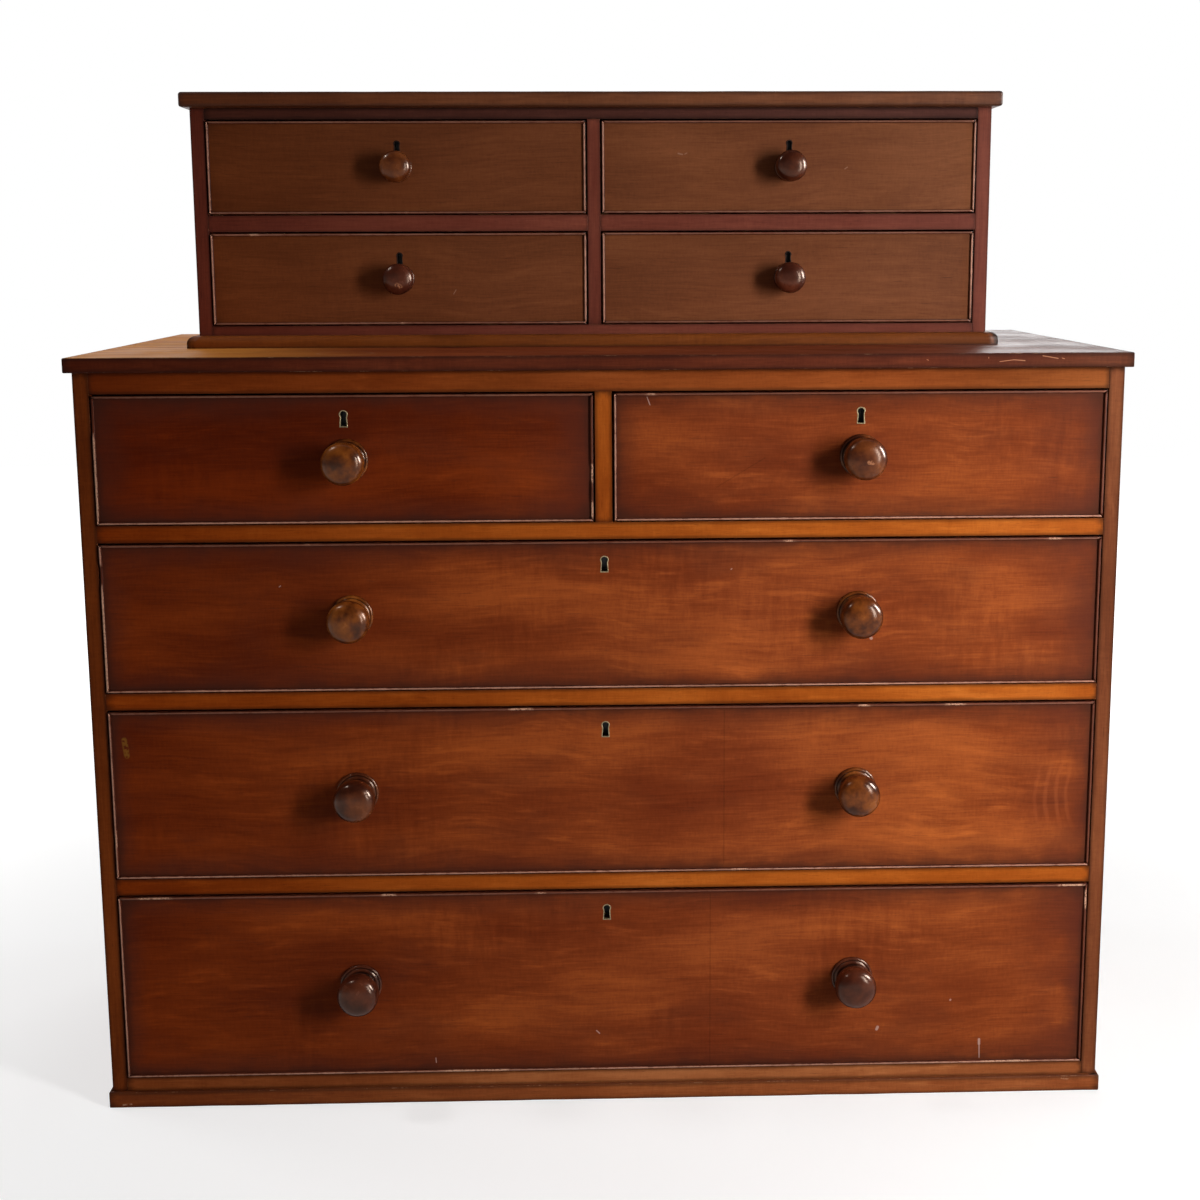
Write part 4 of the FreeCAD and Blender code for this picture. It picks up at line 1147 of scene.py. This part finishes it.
def dress_upper_case():
    left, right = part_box("upper_side_left"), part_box("upper_side_right")
    x0, x1 = left[1].x, right[0].x
    foot_lo, foot_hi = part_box("upper_bottom_rail")
    back = foot_hi.y
    frieze_lo, frieze_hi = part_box("upper_frieze_rail")
    low_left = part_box("small_low_left_front")
    post0 = low_left[1].x + GAP_ABOVE
    post1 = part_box("small_low_right_front")[0].x - GAP_ABOVE
    under = low_left[1].z + GAP_ABOVE
    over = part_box("small_top_left_front")[0].z - GAP_BELOW
    foot_top = low_left[0].z - GAP_BELOW
    look = "upper_frame"
    rails("mahogany_upper", upper_face, back, (
        ("upper_frieze_bar", x0, x1, frieze_lo.z, frieze_hi.z, "frieze", 61, "upper_frieze_rail",
         ("small_top_left", "small_top_right")),
        ("upper_middle_rail_left", x0, post0, under, over, look, 62, "upper_middle_rails",
         ("small_low_left",)),
        ("upper_middle_rail_right", post1, x1, under, over, look, 63, "upper_middle_rails",
         ("small_low_right",)),
        ("upper_bottom_bar", x0, x1, foot_lo.z, foot_top, look, 64, "upper_bottom_rail", ()),
    ))
    post = board("upper_divider_post", (post0, upper_face, foot_top), (post1, back, frieze_lo.z), Z,
                 RAIL_ARRIS, 65)
    fit(post, "case", "mahogany_upper", look, "upper_divider")
    side_panels("upper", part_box("upper_back_panel"), UPPER_SIDE_ARRIS, 66, "mahogany_upper", look)
    lo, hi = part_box("upper_lid")
    lid = board("upper_lid_board", lo, hi, X, LID_ARRIS, 71, uneven=0.4, pitch=0.01, steps=6)
    fit(lid, "case", "mahogany_tops", "lid", "upper_lid")
    base_moulding(left[0].x, right[1].x)


MOULDING_ROUND = 9.0 * MM
MOULDING_EDGE = 0.4 * MM
MOULDING_WEAR = 0.12 * MM
MOULDING_STEPS = 12
MOULDING_PITCH = 12.0 * MM


def base_moulding(x0, x1):
    """A quarter-round strip round three sides of the upper case's foot, mitred at the corners."""
    lo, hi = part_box("upper_base_moulding")
    reach = x0 - lo.x
    height = hi.z - lo.z
    profile = [(0.0, 0.0), (reach - MOULDING_EDGE, 0.0), (reach, MOULDING_EDGE)]
    for step in range(MOULDING_STEPS + 1):
        angle = math.pi / 2 * step / MOULDING_STEPS
        out = reach - MOULDING_ROUND * (1 - math.cos(angle))
        profile.append((out, height - MOULDING_ROUND * (1 - math.sin(angle))))
    profile.append((0.0, height))

    def run(number, out):
        """The two ends of one side's line at a distance out from the case."""
        left, front, right = x0 - out, upper_face - out, x1 + out
        corners = ((left, hi.y), (left, front), (right, front), (right, hi.y))
        return [Vector((x, y, lo.z)) for x, y in corners[number:number + 2]]

    for number, word in enumerate(("left", "front", "right")):
        start, end = run(number, 0.0)
        length = (end - start).length
        count = round(length / MOULDING_PITCH)
        points = []
        for ring in range(count + 1):
            for row, (out, up) in enumerate(profile):
                wear = wander(80 + number + row, length * ring / count, 0.03) if row > 2 else 0.0
                start, end = run(number, out - MOULDING_WEAR * abs(wear))
                points.append(start.lerp(end, ring / count) + Vector((0, 0, up)))
        faces = capped_loft(len(profile), count + 1)
        piece = closed_object(f"base_moulding_{word}", points, faces)
        low = [min(p[a] for p in points) for a in (X, Y, Z)]
        high = [max(p[a] for p in points) for a in (X, Y, Z)]
        dress(piece, low, high, X if word == "front" else Y, 81 + number)
        smooth(piece)
        fit(piece, "case", "moulding_wood", "moulding", "upper_base_moulding")


# The inner pieces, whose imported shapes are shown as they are, by material.
INNER_NODES = {
    "pine_deep": ["lower_runners", "lower_kickers", "upper_runners"],
    "pine_wide": ["lower_drawer_stops", "upper_drawer_stops", "upper_bottom_board", "upper_back_panel"],
    "pine_tall": ["lower_back_boards"],
    "linings": [f"{name}_box" for name in LOWER_DRAWERS + UPPER_DRAWERS],
    "lock_brass": [f"{name}_lock" for name in LOWER_DRAWERS + UPPER_DRAWERS],
    "bolt_brass": [f"{name}_bolt" for name in LOWER_DRAWERS + UPPER_DRAWERS],
}


def finish_cad_nodes():
    for look, nodes in INNER_NODES.items():
        for node in nodes:
            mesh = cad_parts[node].data
            mesh.materials.clear()
            mesh.materials.append(materials[look])


# ---- the studio
WHITE = (1, 1, 1, 1)
# Strengths of the room behind the camera, of its brighter lower part and of the ambient light.
ROOM_LEVEL = 0.04
LOW_LEVEL = 0.45
AMBIENT_LEVEL = 0.14
# The floor's own light near the chest, and how bright its colour is to the camera and to the chest.
FLOOR_GLOW = 0.55
FLOOR_SEEN = 0.62
FLOOR_FELT = 0.38
FLOOR_HALF = 6.0
FLOOR_DROP = 0.2 * MM


def seen_or_not(paint, seen, unseen):
    """The first shader for what the camera, gloss and glass see, the second for the rest."""
    path = paint.make("LightPath").outputs
    rays = ("Is Camera Ray", "Is Glossy Ray", "Is Transmission Ray")
    camera, gloss, glass = [Value(paint, path[ray]) for ray in rays]
    return paint.node("MixShader", (camera.most(gloss).most(glass), unseen, seen))


def make_world():
    """White behind the chest, a dim room behind the camera, and an even ambient light."""
    world = bpy.data.worlds.new("studio")
    bpy.context.scene.world = world
    paint = Paint(world)
    paint.nodes.clear()
    _, y, z = paint.xyz("Generated")
    room = y.step(0.0, 0.3, ROOM_LEVEL, 1.0).most(z.step(-0.05, 0.55, LOW_LEVEL, 0.0))
    level = room.most(paint.node("LightPath", (), "Is Camera Ray"))
    seen = paint.node("Background", (WHITE, level))
    unseen = paint.node("Background", (WHITE, AMBIENT_LEVEL))
    paint.make("OutputWorld", (seen_or_not(paint, seen, unseen),))


def make_floor():
    """A white floor that keeps the chest's shadow."""
    half = FLOOR_HALF
    corners = [(-half, -half, 0), (half, -half, 0), (half, half, 0), (-half, half, 0)]
    floor = mesh_object("studio_floor", corners, [(0, 1, 2, 3)])
    floor.location.z = -FLOOR_DROP
    paint = Paint("studio_floor")
    paint.nodes.clear()
    lit = paint.node("BsdfDiffuse", ((FLOOR_SEEN, FLOOR_SEEN, FLOOR_SEEN, 1),))
    away = paint.vector("LENGTH", paint.place())
    glow = paint.node("Emission", {"Strength": away.step(0.7, 2.2, FLOOR_GLOW, 1.0)})
    both = paint.node("AddShader", (lit, glow))
    plain = paint.node("BsdfDiffuse", ((FLOOR_FELT, FLOOR_FELT, FLOOR_FELT, 1),))
    paint.make("OutputMaterial", (seen_or_not(paint, both, plain),))
    floor.data.materials.append(paint.owner)


def lamp(name, place, target, size, watts, colour=(1, 1, 1), spread=180):
    data = bpy.data.lights.new(name, "AREA")
    data.shape = "RECTANGLE"
    data.size, data.size_y = size
    data.energy = watts
    data.color = colour
    data.spread = math.radians(spread)
    light = bpy.data.objects.new(name, data)
    light.location = place
    light.rotation_euler = (Vector(target) - Vector(place)).to_track_quat("-Z", "Y").to_euler()
    bpy.context.scene.collection.objects.link(light)
    return light


def make_lights():
    day = (1.0, 0.98, 0.97)
    lamp("window", (1.42, -1.50, 1.02), (0.45, -0.25, 0.50), (0.30, 1.1), 13.2, day, spread=110)
    gleam = lamp("side_window", (2.0, -0.42, 1.35), (0.2, -0.33, 0.6), (0.42, 0.85), 100, day)
    gleam.visible_diffuse = False
    lamp("left_window", (-1.6, -0.25, 2.6), (-0.3, -0.05, 0.9), (0.25, 0.25), 12)
    lamp("rear_fill", (1.0, 4.0, 2.2), (0, 0.2, 0.6), (2.0, 1.8), 60)
    lamp("left_side", (-3.6, 1.4, 1.2), (-0.4, 0.2, 0.5), (1.4, 1.6), 34)
    lamp("right_side", (3.4, 1.6, 1.2), (0.4, 0.2, 0.5), (1.4, 1.6), 20)


# The camera's place and turn, and the middle of its image in the 1200-pixel frame.
FRAME_PIXELS = 1200.0
FOCAL_PIXELS = 1667.5
MIDDLE_PIXEL = (637.35, 522.47)
CAMERA_PLACE = Vector((-0.0164, -2.1626, 1.0267))
PITCH_DOWN = math.radians(9.217)
YAW_RIGHT = math.radians(1.649)
ROLL = math.radians(-0.223)


def make_camera():
    data = bpy.data.cameras.new("camera")
    data.sensor_fit = "HORIZONTAL"
    data.sensor_width = 36.0
    data.lens = data.sensor_width * FOCAL_PIXELS / FRAME_PIXELS
    data.shift_x = (FRAME_PIXELS / 2 - MIDDLE_PIXEL[0]) / FRAME_PIXELS
    data.shift_y = (MIDDLE_PIXEL[1] - FRAME_PIXELS / 2) / FRAME_PIXELS
    camera = bpy.data.objects.new("camera", data)
    turns = ((-YAW_RIGHT, "Z"), (math.pi / 2 - PITCH_DOWN, "X"), (ROLL, "Z"))
    camera.matrix_world = Matrix.Translation(CAMERA_PLACE)
    for angle, axis in turns:
        camera.matrix_world = camera.matrix_world @ Matrix.Rotation(angle, 4, axis)
    bpy.context.scene.collection.objects.link(camera)
    bpy.context.scene.camera = camera


# ---- build
make_camera()
make_world()
make_floor()
make_lights()
dress_lower_case()
dress_upper_case()
for number, drawer in enumerate(LOWER_DRAWERS + UPPER_DRAWERS):
    dress_drawer(drawer, 101 + 7 * number)
finish_cad_nodes()

bpy.context.scene.view_settings.view_transform = "Standard"
